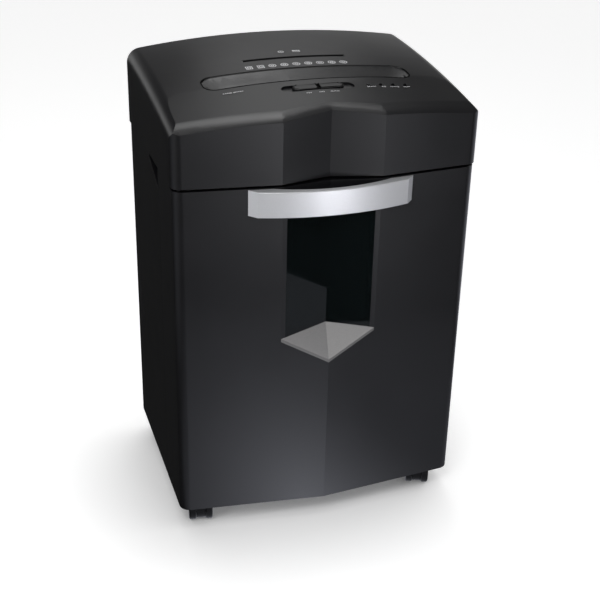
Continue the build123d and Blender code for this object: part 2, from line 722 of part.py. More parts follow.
# Strippers: a bar with one finger in each gap between discs.
def stripper(y, first_x, side):
    bar0, bar1 = sorted((y + side * COMB_BAR[0], y + side * COMB_BAR[1]))
    comb = block(-PLATE_INNER_X, PLATE_INNER_X, bar0, bar1, CUTTER_Z - COMB_HALF, CUTTER_Z + COMB_HALF)
    finger0, finger1 = sorted((y + side * FINGER_START, y + side * COMB_BAR[0]))
    fingers = []
    width = DISC_PITCH - DISC_THICK - 2 * FINGER_GAP
    for count in range(DISC_COUNT - 1):
        x = first_x + count * DISC_PITCH + DISC_THICK + FINGER_GAP
        fingers.append(block(x, x + width, finger0, finger1, CUTTER_Z - FINGER_HALF, CUTTER_Z + FINGER_HALF))
    comb += fingers
    return comb - rod_x(-CORE_HALF, CORE_HALF, y, CUTTER_Z, CORE_RADIUS + CORE_GAP)


# Gears: involute stub teeth from the gear formula.
def involute(angle):
    return tan(angle) - angle


def gear(teeth, width, bore, phase):
    pitch = MODULE * teeth / 2
    base = pitch * cos(PRESSURE_ANGLE)
    root = pitch - DEDENDUM * MODULE
    tip = pitch + ADDENDUM * MODULE
    half_tooth = pi / (2 * teeth) - BACKLASH / (4 * pitch)
    start = max(base, root + ROOT_RELIEF / 2)
    flank = []
    for share in FLANK_SHARES:
        radius = start + (tip - start) * share
        lean = half_tooth + involute(PRESSURE_ANGLE) - involute(acos(min(1.0, base / radius)))
        flank.append((radius, lean))
    flank.insert(0, (root, flank[0][1] + ROOT_RELIEF / root))
    points = []
    for tooth in range(teeth):
        middle = phase + 2 * pi * tooth / teeth
        for radius, lean in flank:
            points.append((radius * cos(middle - lean), radius * sin(middle - lean), 0))
        for radius, lean in reversed(flank):
            points.append((radius * cos(middle + lean), radius * sin(middle + lean), 0))
    wheel = extrude(outline(points), amount=width)
    return wheel - Pos(0, 0, width / 2) * Cylinder(bore, width + 2)


def facing(y0, z0, y1, z1):
    return atan2(z1 - z0, y1 - y0)


def meshed(teeth, towards):
    return towards + pi + pi / teeth


def gear_on(x, y, z, teeth, width, bore, phase):
    return across_shaft(x, y, z).location * gear(teeth, width, bore, phase)


def web_recess(face_x, y, z, radii):
    hub, rim = radii
    ring = rod_x(face_x - WEB_DEPTH, face_x + 1, y, z, rim)
    return ring - rod_x(face_x - WEB_DEPTH - 1, face_x + 2, y, z, hub)


def sync_gears():
    bore = JOURNAL_RADIUS + PRESS_FIT
    phase = facing(REAR_CUTTER_Y, CUTTER_Z, FRONT_CUTTER_Y, CUTTER_Z)
    rear = gear_on(SYNC_START_X, REAR_CUTTER_Y, CUTTER_Z, SYNC_TEETH, SYNC_WIDTH, bore, phase)
    phase = meshed(SYNC_TEETH, phase)
    front = gear_on(SYNC_START_X, FRONT_CUTTER_Y, CUTTER_Z, SYNC_TEETH, SYNC_WIDTH, bore, phase)
    return rear, front


OUTPUT_PHASE = facing(REAR_CUTTER_Y, CUTTER_Z, REDUCTION_Y, REDUCTION_Z)
REDUCTION_PHASE = facing(REDUCTION_Y, REDUCTION_Z, MOTOR_Y, MOTOR_Z)


def output_gear():
    bore = JOURNAL_RADIUS + PRESS_FIT
    wheel = gear_on(GEAR_START_X, REAR_CUTTER_Y, CUTTER_Z, OUTPUT_TEETH, GEAR_WIDTH, bore, OUTPUT_PHASE)
    return wheel - web_recess(GEAR_START_X + GEAR_WIDTH, REAR_CUTTER_Y, CUTTER_Z, OUTPUT_WEB)


def reduction_gear():
    bore = REDUCTION_AXLE_RADIUS + RUNNING_FIT
    place = (REDUCTION_Y, REDUCTION_Z)
    small_width = BIG_START_X - GEAR_START_X + 0.5
    small_phase = meshed(PINION_TEETH, OUTPUT_PHASE)
    small = gear_on(GEAR_START_X, *place, PINION_TEETH, small_width, bore, small_phase)
    big = gear_on(BIG_START_X, *place, REDUCTION_TEETH, BIG_WIDTH, bore, REDUCTION_PHASE)
    return small + big - web_recess(BIG_START_X + BIG_WIDTH, *place, BIG_WEB)


def motor_pinion():
    bore = MOTOR_SHAFT_RADIUS + PRESS_FIT
    phase = meshed(PINION_TEETH, REDUCTION_PHASE)
    return gear_on(BIG_START_X - 0.5, MOTOR_Y, MOTOR_Z, PINION_TEETH, PINION_WIDTH, bore, phase)


def reduction_axle():
    place = (REDUCTION_Y, REDUCTION_Z)
    collar = (PLATE_INNER_X + PLATE_THICK, GEAR_START_X - 0.5)
    pin = rod_x(PLATE_INNER_X - 2, AXLE_END_X, *place, REDUCTION_AXLE_RADIUS)
    pin += rod_x(*collar, *place, REDUCTION_COLLAR_RADIUS)
    return pin + rod_x(*AXLE_CLIP, *place, REDUCTION_COLLAR_RADIUS)


# Motor: drawn can on the right plate, end bell, shaft.
def motor_can():
    start = PLATE_INNER_X - MOTOR_LENGTH
    can = rod_x(start, PLATE_INNER_X, MOTOR_Y, MOTOR_Z, MOTOR_RADIUS)
    can = chamfer(can.edges().filter_by(GeomType.CIRCLE), MOTOR_EDGE)
    nose_x = PLATE_INNER_X + MOTOR_NOSE
    can += rod_x(PLATE_INNER_X, nose_x, MOTOR_Y, MOTOR_Z, MOTOR_NOSE_RADIUS)
    bore = MOTOR_SHAFT_RADIUS + RUNNING_FIT
    return can - rod_x(PLATE_INNER_X - MOTOR_SHAFT_INSIDE - 1, nose_x + 1, MOTOR_Y, MOTOR_Z, bore)


def motor_end_bell():
    start = PLATE_INNER_X - MOTOR_LENGTH
    bell = rod_x(start - BELL_LENGTH, start, MOTOR_Y, MOTOR_Z, MOTOR_RADIUS - BELL_STEP)
    bell = chamfer(bell.edges().filter_by(GeomType.CIRCLE).sort_by(Axis.X)[0], BELL_EDGE)
    radius, length = BELL_BOSS
    end = start - BELL_LENGTH
    return bell + rod_x(end - length, end + 1, MOTOR_Y, MOTOR_Z, radius)


def motor_shaft():
    start = PLATE_INNER_X - MOTOR_SHAFT_INSIDE
    return rod_x(start, MOTOR_SHAFT_END_X, MOTOR_Y, MOTOR_Z, MOTOR_SHAFT_RADIUS)


# Electronics on the tray.
BOARD_Z = 462.0
BOARD_X = (-162.0, -22.0)
BOARD_Y = (26.0, 108.0)
BOARD_THICK = 1.6
BOARD_POSTS = [(x, y) for x in (-156.0, -28.0) for y in (32.0, 102.0)]
TRANSFORMER = (-150.0, -112.0, 48.0, 86.0, 30.0)
RELAY_XS = (-98.0, -72.0)
RELAY = (19.0, 40.0, 56.0, 16.0)
CAPACITOR_XS = (-90.0, -68.0)
CAPACITOR = (84.0, 7.0, 22.0)
BOARD_SOCKET = (-48.0, -28.0, 48.0, 86.0, 10.0)
SENSOR_LOW = 512.5
SENSOR_HALF = 6.0
SENSOR_DEPTH = 6.0
SENSOR_HEIGHTS = (7.0, 5.0)


def control_board():
    return block(*BOARD_X, *BOARD_Y, BOARD_Z, BOARD_Z + BOARD_THICK)


def board_components():
    top = BOARD_Z + BOARD_THICK
    *sides, height = TRANSFORMER
    transformer = block(*sides, top, top + height)
    transformer = fillet(transformer.edges().filter_by(Axis.Z), WALL)
    width, y0, y1, height = RELAY
    relays = [block(x, x + width, y0, y1, top, top + height) for x in RELAY_XS]
    y, radius, height = CAPACITOR
    capacitors = [rod_z(x, y, top, top + height, radius) for x in CAPACITOR_XS]
    *sides, height = BOARD_SOCKET
    return [transformer, *relays, *capacitors, block(*sides, top, top + height)]


def paper_sensor():
    half = SENSOR_HALF
    front_face = ENTRY_FRONT + ENTRY_GAP
    rear_face = SLOT_REAR + THROAT_WALL
    front_height, rear_height = SENSOR_HEIGHTS
    front = block(-half, half, front_face - SENSOR_DEPTH, front_face, SENSOR_LOW, SENSOR_LOW + front_height)
    rear = block(-half, half, rear_face, rear_face + SENSOR_DEPTH, SENSOR_LOW, SENSOR_LOW + rear_height)
    return [front, rear]


# Bin fascia: a hollow front with returns, a notch and the window opening.
BIN_SLOPE = 2 * PROW / BODY_WIDTH
BIN_APEX = CORNER_Y - PROW
BIN_CREASE_Y = BIN_APEX + BIN_SLOPE * BIN_NOTCH_HALF
BIN_NOTCH_SLOPE = (BIN_VALLEY_Y - BIN_CREASE_Y) / BIN_NOTCH_HALF
NOTCH_WALL_Y = WALL * hypot(1, BIN_NOTCH_SLOPE)


def fascia_front(x):
    return BIN_APEX + BIN_SLOPE * abs(x)


def notch_face(x):
    return BIN_VALLEY_Y - BIN_NOTCH_SLOPE * abs(x)


def sill_triangle(drop):
    corner = (-BIN_NOTCH_HALF, BIN_CREASE_Y, SILL_CORNER_Z - drop)
    return outline([corner, (0, BIN_VALLEY_Y, SILL_VALLEY_Z - drop), (0, BIN_APEX, SILL_TIP_Z - drop)])


def notch_hollow(drop):
    return both_sides(extrude(sill_triangle(drop), amount=NOTCH_RISE, dir=(0, 0, 1)))


def notch_backing():
    drop = SILL_THICK + WALL
    valley = BIN_VALLEY_Y + NOTCH_WALL_Y
    corner_x = (valley - BIN_APEX) / (BIN_SLOPE + BIN_NOTCH_SLOPE)
    corner = (-corner_x, fascia_front(corner_x), SILL_CORNER_Z - drop)
    face = outline([corner, (0, valley, SILL_VALLEY_Z - drop), (0, BIN_APEX, SILL_TIP_Z - drop)])
    return both_sides(extrude(face, amount=NOTCH_RISE, dir=(0, 0, 1)))


def fascia_block(inset, z0, z1):
    half = BODY_WIDTH / 2 - inset
    apex = BIN_APEX + inset * hypot(1, BIN_SLOPE)
    corner_y = apex + BIN_SLOPE * half
    plan = [(-half, RETURN_END_Y), (-half, corner_y), (0, apex), (half, corner_y), (half, RETURN_END_Y)]
    body = plan_prism(plan, z0, z1)
    edges = upright_edges(body, -half, corner_y) + upright_edges(body, half, corner_y)
    return fillet(edges, CORNER_RADIUS - inset)


def window_shape(half, low_drop, top):
    fall = (SILL_VALLEY_Z - SILL_CORNER_Z) * half / BIN_NOTCH_HALF
    low = SILL_VALLEY_Z - low_drop
    points = [(-half, low - fall), (0, low), (half, low - fall), (half, top), (-half, top)]
    return front_prism(points, BIN_APEX - WALL, TUB_FRONT)


BIN_BOSSES = [(x, z) for x in (-BOSS_X, BOSS_X) for z in BOSS_HEIGHTS]
BIN_SCREWS = [(x, TUB_FRONT + TUB_WALL, z) for x, z in BIN_BOSSES]
BIN_SCREW_LENGTH = 12.0
HANDLE_SCREWS = [
    (side * HANDLE_SCREW_X, fascia_front(HANDLE_SCREW_X) + WALL * hypot(1, BIN_SLOPE), z)
    for side in (-1, 1) for z in HANDLE_SCREW_HEIGHTS
]
HANDLE_SCREW_LENGTH = 9.0


def handle_holes():
    holes = []
    for x, y, z in HANDLE_SCREWS:
        side = 1 if x > 0 else -1
        holes += screw_holes([(x, y, z)], (side * BIN_SLOPE, -1, 0), HANDLE_SCREW_LENGTH)
    return holes


def handle_screws():
    pieces = []
    for x, y, z in HANDLE_SCREWS:
        side = 1 if x > 0 else -1
        pieces += screws([(x, y, z)], (side * BIN_SLOPE, -1, 0), HANDLE_SCREW_LENGTH)
    return pieces


def bin_fascia():
    outer = fascia_block(0, BODY_BOTTOM, FASCIA_TOP) - notch_hollow(SILL_THICK)
    hollow = fascia_block(WALL, BODY_BOTTOM - 5, FASCIA_TOP - WALL) - notch_backing()
    shell = outer - hollow
    inner = BODY_WIDTH / 2 - WALL
    ledge_low = FASCIA_TOP - WALL - 1
    shell -= block(-inner, inner, LEDGE_Y, RETURN_END_Y + 5, ledge_low, FASCIA_TOP + 1)
    for side in (-1, 1):
        x0, x1 = sorted((side * LEDGE_HALF, side * inner))
        shell -= block(x0, x1, INSET_FRONT - 1, RETURN_END_Y + 5, ledge_low, FASCIA_TOP + 1)
    shell -= window_shape(WINDOW_HALF, SILL_THICK, WINDOW_TOP)
    for x, z in BIN_BOSSES:
        shell += rod_y(x, fascia_front(x) + WALL / 2, TUB_FRONT, z, BOSS_RADIUS)
    shell -= screw_holes(BIN_SCREWS, (0, -1, 0), BIN_SCREW_LENGTH)
    return shell - handle_holes()


def bin_window():
    half = WINDOW_HALF - WINDOW_FIT
    back = NOTCH_WALL_Y
    plan = [(-half, notch_face(half)), (0, BIN_VALLEY_Y), (half, notch_face(half))]
    plan += [(half, notch_face(half) + back), (0, BIN_VALLEY_Y + back), (-half, notch_face(half) + back)]
    shape = window_shape(half, SILL_THICK - WINDOW_FIT, WINDOW_TOP - WINDOW_FIT)
    pane = plan_prism(plan, *WINDOW_PLAN_Z) & shape
    wide = WINDOW_HALF + WINDOW_FLANGE
    rear = back + WINDOW_FLANGE_THICK
    plan = [(-wide, notch_face(wide) + back), (0, BIN_VALLEY_Y + back), (wide, notch_face(wide) + back)]
    plan += [(wide, notch_face(wide) + rear), (0, BIN_VALLEY_Y + rear), (-wide, notch_face(wide) + rear)]
    shape = window_shape(wide, SILL_THICK, WINDOW_TOP + WINDOW_FLANGE)
    return pane + (plan_prism(plan, *WINDOW_PLAN_Z) & shape)


def window_sill():
    return both_sides(extrude(sill_triangle(0), amount=SILL_THICK, dir=(0, 0, -1)))


def pull_handle():
    foot_y = fascia_front(HANDLE_FOOT_X)
    end_y = fascia_front(HANDLE_END_X)
    grip_y = HANDLE_APEX_Y + HANDLE_GRIP
    z = HANDLE_BOTTOM
    left = (-HANDLE_BAR_X, HANDLE_BAR_Y, z)
    right = (HANDLE_BAR_X, HANDLE_BAR_Y, z)
    edges = ThreePointArc(left, (0, HANDLE_APEX_Y, z), right)
    edges += Polyline(right, (HANDLE_END_X, end_y, z), (HANDLE_FOOT_X, foot_y, z))
    edges += ThreePointArc((HANDLE_FOOT_X, foot_y, z), (0, grip_y, z), (-HANDLE_FOOT_X, foot_y, z))
    edges += Polyline((-HANDLE_FOOT_X, foot_y, z), (-HANDLE_END_X, end_y, z), left)
    bar = extrude(make_face(edges), amount=HANDLE_TOP - HANDLE_BOTTOM, dir=(0, 0, 1))
    rims = [e for e in bar.edges().filter_by(GeomType.CIRCLE) if e.center().Y < grip_y]
    bar = chamfer(rims, HANDLE_EDGE)
    return bar - handle_holes()


# Tub: an open bin, narrower at the bottom, with a rim and a cut-out behind the window.
def tub_form(inset, bottom, top):
    def ring(half, rear, z):
        middle = (TUB_FRONT + inset + rear) / 2
        return Pos(0, middle, z) * RectangleRounded(2 * half, rear - TUB_FRONT - inset, TUB_CORNER - inset)

    low = ring(TUB_HALF - TUB_TAPER - inset, TUB_REAR - TUB_TAPER - inset, bottom)
    high = ring(TUB_HALF - inset, TUB_REAR - inset, top)
    return loft([low, high])


def bin_tub():
    tub = tub_form(0, TUB_BOTTOM, TUB_TOP)
    wide = TUB_HALF + TUB_RIM
    tub += rounded_plan(-wide, wide, TUB_FRONT, TUB_REAR, TUB_TOP - TUB_RIM, TUB_TOP, TUB_CORNER)
    tub -= tub_form(TUB_WALL, TUB_BOTTOM + TUB_WALL, TUB_TOP + 0.5)
    tub -= window_back()
    return tub - screw_holes(BIN_SCREWS, (0, -1, 0), BIN_SCREW_LENGTH)


def window_back():
    half = WINDOW_HALF + TUB_WINDOW_MARGIN[0]
    high = TUB_TOP - TUB_WINDOW_MARGIN[1]
    return block(-half, half, TUB_FRONT - 1, TUB_FRONT + TUB_WALL + 2, SILL_CORNER_Z, high)


# Cabinet: back and sides, inset walls behind the returns, a finger scoop each side.
def hold_wedge(grow, x0, x1):
    front = STEP_Y + WALL - grow
    low = SEAM_Z - HOLD_DEPTH_Z
    rear = HOLD_REAR_Y + grow
    high = SEAM_Z + 1
    return side_prism([(front, low - grow), (front, high), (rear, high), (rear, SEAM_Z - grow)], x0, x1)


def cabinet_shell():
    half = BODY_WIDTH / 2
    inner = half - WALL
    inset_in = INSET_HALF - WALL
    plan = [(0, REAR_Y), (-half, REAR_Y), (-half, STEP_Y), (-INSET_HALF, STEP_Y), (-INSET_HALF, INSET_FRONT)]
    plan += [(-inset_in, INSET_FRONT), (-inset_in, STEP_Y + WALL), (-inner, STEP_Y + WALL)]
    plan += [(-inner, REAR_Y - WALL), (0, REAR_Y - WALL)]
    wall = plan_prism(plan, BODY_BOTTOM, SEAM_Z)
    wall -= block(-INSET_HALF - 1, -inset_in + 1, INSET_FRONT - 1, STEP_Y, BODY_BOTTOM - 1, SKIRT_BOTTOM)
    rear_edge = upright_edges(wall, -half, REAR_Y)
    wall = fillet(rear_edge, REAR_EDGE)
    scoop = hold_wedge(HOLD_WALL, -inner - 1, -HOLD_INNER_X + HOLD_WALL)
    wall += scoop & block(-half, 0, CORNER_Y, REAR_Y, BODY_BOTTOM, SEAM_Z)
    wall -= hold_wedge(0, -half - 1, -HOLD_INNER_X)
    return both_sides(wall)


# Base pan: floor, skirt, bin runners and castor bosses.
def base_pan():
    half = INSET_HALF - WALL - PAN_FIT
    wide = BODY_WIDTH / 2 - WALL - PAN_FIT
    step = STEP_Y + WALL + PAN_FIT
    rear = REAR_Y - WALL - PAN_FIT
    plan = [(-half, INSET_FRONT), (half, INSET_FRONT), (half, step), (wide, step), (wide, rear)]
    plan += [(-wide, rear), (-wide, step), (-half, step)]
    pan = plan_prism(plan, SKIRT_BOTTOM, PAN_TOP)
    under = [(-half + WALL, INSET_FRONT + WALL), (half - WALL, INSET_FRONT + WALL)]
    under += [(half - WALL, step + WALL)]
    under += [(wide - WALL, step + WALL), (wide - WALL, rear - WALL), (-wide + WALL, rear - WALL)]
    under += [(-wide + WALL, step + WALL), (-half + WALL, step + WALL)]
    pan -= plan_prism(under, SKIRT_BOTTOM - 1, PAN_BOTTOM)
    for side in (-1, 1):
        x = side * RUNNER_X
        x0, x1 = x - RUNNER_WIDTH / 2, x + RUNNER_WIDTH / 2
        pan += block(x0, x1, *RUNNER_Y, PAN_TOP, TUB_BOTTOM - RUNNER_GAP)
    for x, y, turn in CASTORS.values():
        pan += rod_z(x, y, PAN_TOP, SOCKET_TOP, SOCKET_BOSS_RADIUS)
        pan -= rod_z(x, y, PAN_BOTTOM - 1, STEM_TOP, SOCKET_RADIUS + PRESS_FIT)
    for y in PAN_RIB_YS:
        pan += Pos(0, y, PAN_BOTTOM - PAN_RIB[2] / 2) * Box(*PAN_RIB)
    return pan


def castor_sockets():
    sleeves = []
    for x, y, turn in CASTORS.values():
        sleeve = rod_z(x, y, PAN_BOTTOM, STEM_TOP, SOCKET_RADIUS)
        sleeves.append(sleeve - rod_z(x, y, PAN_BOTTOM - 1, STEM_TOP + 1, STEM_RADIUS + RUNNING_FIT))
    return sleeves


# Castors, modelled with the pivot at the origin and the trail to the back.
def castor_place(name):
    x, y, turn = CASTORS[name]
    return Pos(x, y, 0) * Rot(0, 0, turn)


def castor_hood():
    hood = rod_x(-HOOD_WIDTH / 2, HOOD_WIDTH / 2, CASTOR_TRAIL, WHEEL_RADIUS, HOOD_RADIUS)
    hood += side_prism(NECK, -HOOD_WIDTH / 2, HOOD_WIDTH / 2)
    hood += rod_z(0, 0, PIVOT_BOTTOM, PIVOT_TOP, PIVOT_RADIUS)
    hood += rod_z(0, 0, NECK_ROD_BOTTOM, PIVOT_BOTTOM, HOOD_WIDTH / 2)
    hood -= rod_x(-HOOD_WIDTH, HOOD_WIDTH, CASTOR_TRAIL, WHEEL_RADIUS, AXLE_RADIUS + RUNNING_FIT)
    return hood - rod_z(0, 0, STEM_BOTTOM, PIVOT_TOP + 1, STEM_RADIUS + PRESS_FIT)


def castor_stem():
    stem = rod_z(0, 0, STEM_BOTTOM, STEM_TOP - 0.5, STEM_RADIUS)
    return chamfer(stem.edges().sort_by(Axis.Z)[-1], STEM_CHAMFER)


def castor_axle():
    end = WHEEL_OFFSET + WHEEL_WIDTH / 2 - AXLE_INSET
    return rod_x(-end, end, CASTOR_TRAIL, WHEEL_RADIUS, AXLE_RADIUS)


def castor_wheels():
    wheels = []
    hub, rim, depth = WHEEL_DISH
    for side in (-1, 1):
        x0 = side * WHEEL_OFFSET - WHEEL_WIDTH / 2
        x1 = side * WHEEL_OFFSET + WHEEL_WIDTH / 2
        wheel = rod_x(x0, x1, CASTOR_TRAIL, WHEEL_RADIUS, WHEEL_RADIUS)
        wheel = chamfer(wheel.edges().filter_by(GeomType.CIRCLE), WHEEL_EDGE)
        outer = x1 if side > 0 else x0
        dish = rod_x(outer - depth, outer + depth, CASTOR_TRAIL, WHEEL_RADIUS, rim)
        wheel -= dish - rod_x(outer - 2 * depth, outer + 2 * depth, CASTOR_TRAIL, WHEEL_RADIUS, hub)
        wheels.append(wheel - rod_x(x0 - 1, x1 + 1, CASTOR_TRAIL, WHEEL_RADIUS, AXLE_RADIUS + PRESS_FIT))
    return wheels


# Interlock at the back of the cabinet: a body on the back wall and a sprung plunger.
INTERLOCK_X = 90.0
INTERLOCK_Z = 402.0
PLUNGER_TIP_Y = TUB_REAR + 1.0
PLUNGER_RADIUS = 2.5
PLUNGER_TRAVEL = 2.5
PLUNGER_EDGE = 1.2
INTERLOCK_HALF = (11.0, 8.0)
INTERLOCK_FACE_Y = 127.0
INTERLOCK_BORE_END = 135.0


def interlock_body():
    wide, high = INTERLOCK_HALF
    x0, x1 = INTERLOCK_X - wide, INTERLOCK_X + wide
    body = block(x0, x1, INTERLOCK_FACE_Y, REAR_Y - WALL, INTERLOCK_Z - high, INTERLOCK_Z + high)
    bore = PLUNGER_RADIUS + RUNNING_FIT
    return body - rod_y(INTERLOCK_X, INTERLOCK_FACE_Y - 1, INTERLOCK_BORE_END, INTERLOCK_Z, bore)


def interlock_plunger():
    end = INTERLOCK_BORE_END - PLUNGER_TRAVEL - 0.4
    plunger = rod_y(INTERLOCK_X, PLUNGER_TIP_Y, end, INTERLOCK_Z, PLUNGER_RADIUS)
    return fillet(plunger.edges().filter_by(GeomType.CIRCLE).sort_by(Axis.Y)[0], PLUNGER_EDGE)


save("top_cover", top_cover())
save("paper_entry", paper_entry())
save("disc_chute", disc_chute())
save("cord_gland", cord_gland())
save("switch_knob", switch_knob())
save("switch_body", switch_body())
save("indicator_board", indicator_board())
save("indicator_lenses", *indicator_lenses())
save("head_tray", head_tray())
save("head_screws", *screws(HEAD_SCREWS, (0, 0, 1), HEAD_SCREW_LENGTH))
save("side_plate_left", side_plate(-1))
save("side_plate_right", side_plate(1))
save("plate_screws", *screws(PLATE_SCREWS, (0, 0, -1), PLATE_SCREW_LENGTH))
save("tie_rods", *tie_rods())
save("cutter_bushes", *cutter_bushes())
save("front_cutter", cutter(FRONT_CUTTER_Y, FIRST_DISC_X, FRONT_SHAFT_RIGHT_X, 1))
save("rear_cutter", cutter(REAR_CUTTER_Y, FIRST_DISC_X + DISC_PITCH / 2, REAR_SHAFT_RIGHT_X, -1))
save("front_stripper", stripper(FRONT_CUTTER_Y, FIRST_DISC_X, -1))
save("rear_stripper", stripper(REAR_CUTTER_Y, FIRST_DISC_X + DISC_PITCH / 2, 1))
rear_sync_gear, front_sync_gear = sync_gears()
save("rear_sync_gear", rear_sync_gear)
save("front_sync_gear", front_sync_gear)
save("output_gear", output_gear())
save("reduction_gear", reduction_gear())
save("motor_pinion", motor_pinion())
save("reduction_axle", reduction_axle())
save("motor_can", motor_can())
save("motor_end_bell", motor_end_bell())
save("motor_shaft", motor_shaft())
save("control_board", control_board())
save("board_components", *board_components())
save("paper_sensor", *paper_sensor())
save("bin_fascia", bin_fascia())
save("bin_window", bin_window())
save("window_sill", window_sill())
save("pull_handle", pull_handle())
save("handle_screws", *handle_screws())
save("bin_tub", bin_tub())
save("bin_screws", *screws(BIN_SCREWS, (0, -1, 0), BIN_SCREW_LENGTH))
save("cabinet_shell", cabinet_shell())
save("base_pan", base_pan())
save("castor_sockets", *castor_sockets())
save("interlock_body", interlock_body())
save("interlock_plunger", interlock_plunger())
for castor in CASTORS:
    place = castor_place(castor)
    save(f"castor_hood_{castor}", place * castor_hood())
    save(f"castor_stem_{castor}", place * castor_stem())
    save(f"castor_axle_{castor}", place * castor_axle())
    save(f"castor_wheels_{castor}", *[place * wheel for wheel in castor_wheels()])
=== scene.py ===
import bmesh
import bpy
import json
import math
from mathutils import Matrix, Vector

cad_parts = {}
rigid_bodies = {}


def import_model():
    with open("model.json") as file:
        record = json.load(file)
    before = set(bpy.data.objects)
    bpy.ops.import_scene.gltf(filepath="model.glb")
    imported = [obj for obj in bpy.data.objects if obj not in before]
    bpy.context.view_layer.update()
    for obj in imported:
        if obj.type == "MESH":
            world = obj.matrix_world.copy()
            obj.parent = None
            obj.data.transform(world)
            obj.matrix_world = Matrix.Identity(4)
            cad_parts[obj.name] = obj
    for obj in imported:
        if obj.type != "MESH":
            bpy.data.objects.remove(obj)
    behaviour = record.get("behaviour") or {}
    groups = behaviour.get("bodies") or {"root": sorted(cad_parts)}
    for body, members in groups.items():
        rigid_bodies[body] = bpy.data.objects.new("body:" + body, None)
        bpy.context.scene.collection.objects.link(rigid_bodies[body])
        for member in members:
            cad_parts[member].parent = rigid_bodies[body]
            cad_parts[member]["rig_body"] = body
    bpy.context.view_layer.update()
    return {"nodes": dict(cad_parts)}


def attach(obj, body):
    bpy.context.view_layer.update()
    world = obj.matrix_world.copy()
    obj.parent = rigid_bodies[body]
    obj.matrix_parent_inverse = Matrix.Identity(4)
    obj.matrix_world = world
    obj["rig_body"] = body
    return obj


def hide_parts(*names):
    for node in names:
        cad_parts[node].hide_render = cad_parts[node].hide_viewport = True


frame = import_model()


# Cabinet shell: back and sides in one ABS moulding, with a finger scoop under the head on each side.
# Its skin is spark-textured in the mould, so it is near black and matte, and greys where light grazes it.
# The base pan closes it below and the cutting head stands on its rim.
def linear(colour):
    channels = [int(colour[i:i + 2], 16) / 255 for i in (1, 3, 5)]
    return tuple(c / 12.92 if c <= 0.04045 else ((c + 0.055) / 1.055) ** 2.4 for c in channels) + (1.0,)


def add_node(tree, kind, inputs, **settings):
    node = tree.nodes.new(kind)
    for name, value in settings.items():
        setattr(node, name, value)
    for socket, value in inputs.items():
        if isinstance(value, bpy.types.NodeSocket):
            tree.links.new(value, node.inputs[socket])
        else:
            node.inputs[socket].default_value = value
    return node


def new_finish(name):
    finish = bpy.data.materials.new(name)
    finish.use_nodes = True
    finish.node_tree.nodes.clear()
    return finish, finish.node_tree


# A skin is a node's own mesh, merged and cleared of needless cuts, with its edges broken by edge_mm.
# Faces that meet at less than fold degrees are shaded as one.
def skin_of(node, edge_mm, finish, fold=24):
    merge_distance = 0.000002
    flat_degrees = 0.2
    edge_degrees = 28
    source = frame["nodes"][node]
    piece = bpy.data.objects.new(node + "_skin", source.data.copy())
    bpy.context.scene.collection.objects.link(piece)
    bpy.ops.object.select_all(action="DESELECT")
    piece.select_set(True)
    bpy.context.view_layer.objects.active = piece
    bpy.ops.mesh.customdata_custom_splitnormals_clear()
    bpy.ops.object.mode_set(mode="EDIT")
    bpy.ops.mesh.select_all(action="SELECT")
    bpy.ops.mesh.remove_doubles(threshold=merge_distance)
    bpy.ops.mesh.dissolve_limited(angle_limit=math.radians(flat_degrees))
    bpy.ops.object.mode_set(mode="OBJECT")
    if edge_mm:
        edges = piece.modifiers.new("broken_edges", "BEVEL")
        edges.width = edge_mm / 1000
        edges.segments = 2
        edges.limit_method = "ANGLE"
        edges.angle_limit = math.radians(edge_degrees)
        bpy.ops.object.modifier_apply(modifier="broken_edges")
    bpy.ops.object.shade_smooth_by_angle(angle=math.radians(fold))
    evened = piece.modifiers.new("even_shading", "WEIGHTED_NORMAL")
    evened.keep_sharp = True
    bpy.ops.object.modifier_apply(modifier="even_shading")
    piece.data.materials.clear()
    piece.data.materials.append(finish)
    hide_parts(node)
    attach(piece, source["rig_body"])
    return piece


# Spark texture of about 0.6 mm, drawn at 1.1 mm so that it shows. It breaks reflections into a soft sheen.
# Handling evens out the gloss in patches of about 70 mm.
black_abs, tree = new_finish("black_spark_textured_abs")
place = add_node(tree, "ShaderNodeTexCoord", {})
grain = add_node(tree, "ShaderNodeTexNoise", {
    "Vector": place.outputs["Object"], "Scale": 900.0, "Detail": 3.0})
handling = add_node(tree, "ShaderNodeTexNoise", {
    "Vector": place.outputs["Object"], "Scale": 14.0, "Detail": 4.0})
tint = add_node(tree, "ShaderNodeMix", {
    "Factor": handling.outputs["Fac"], "A": linear("#0d0d0f"), "B": linear("#131316")}, data_type="RGBA")
gloss = add_node(tree, "ShaderNodeMapRange", {
    "Value": handling.outputs["Fac"], "From Min": 0.3, "From Max": 0.7, "To Min": 0.34, "To Max": 0.38})
relief = add_node(tree, "ShaderNodeBump", {
    "Height": grain.outputs["Fac"], "Strength": 0.10, "Distance": 0.0002})
skin = add_node(tree, "ShaderNodeBsdfPrincipled", {
    "Base Color": tint.outputs["Result"], "Roughness": gloss.outputs["Result"], "IOR": 1.5,
    "Normal": relief.outputs["Normal"]})
add_node(tree, "ShaderNodeOutputMaterial", {"Surface": skin.outputs["BSDF"]})

skin_of("cabinet_shell", 0.5, black_abs)


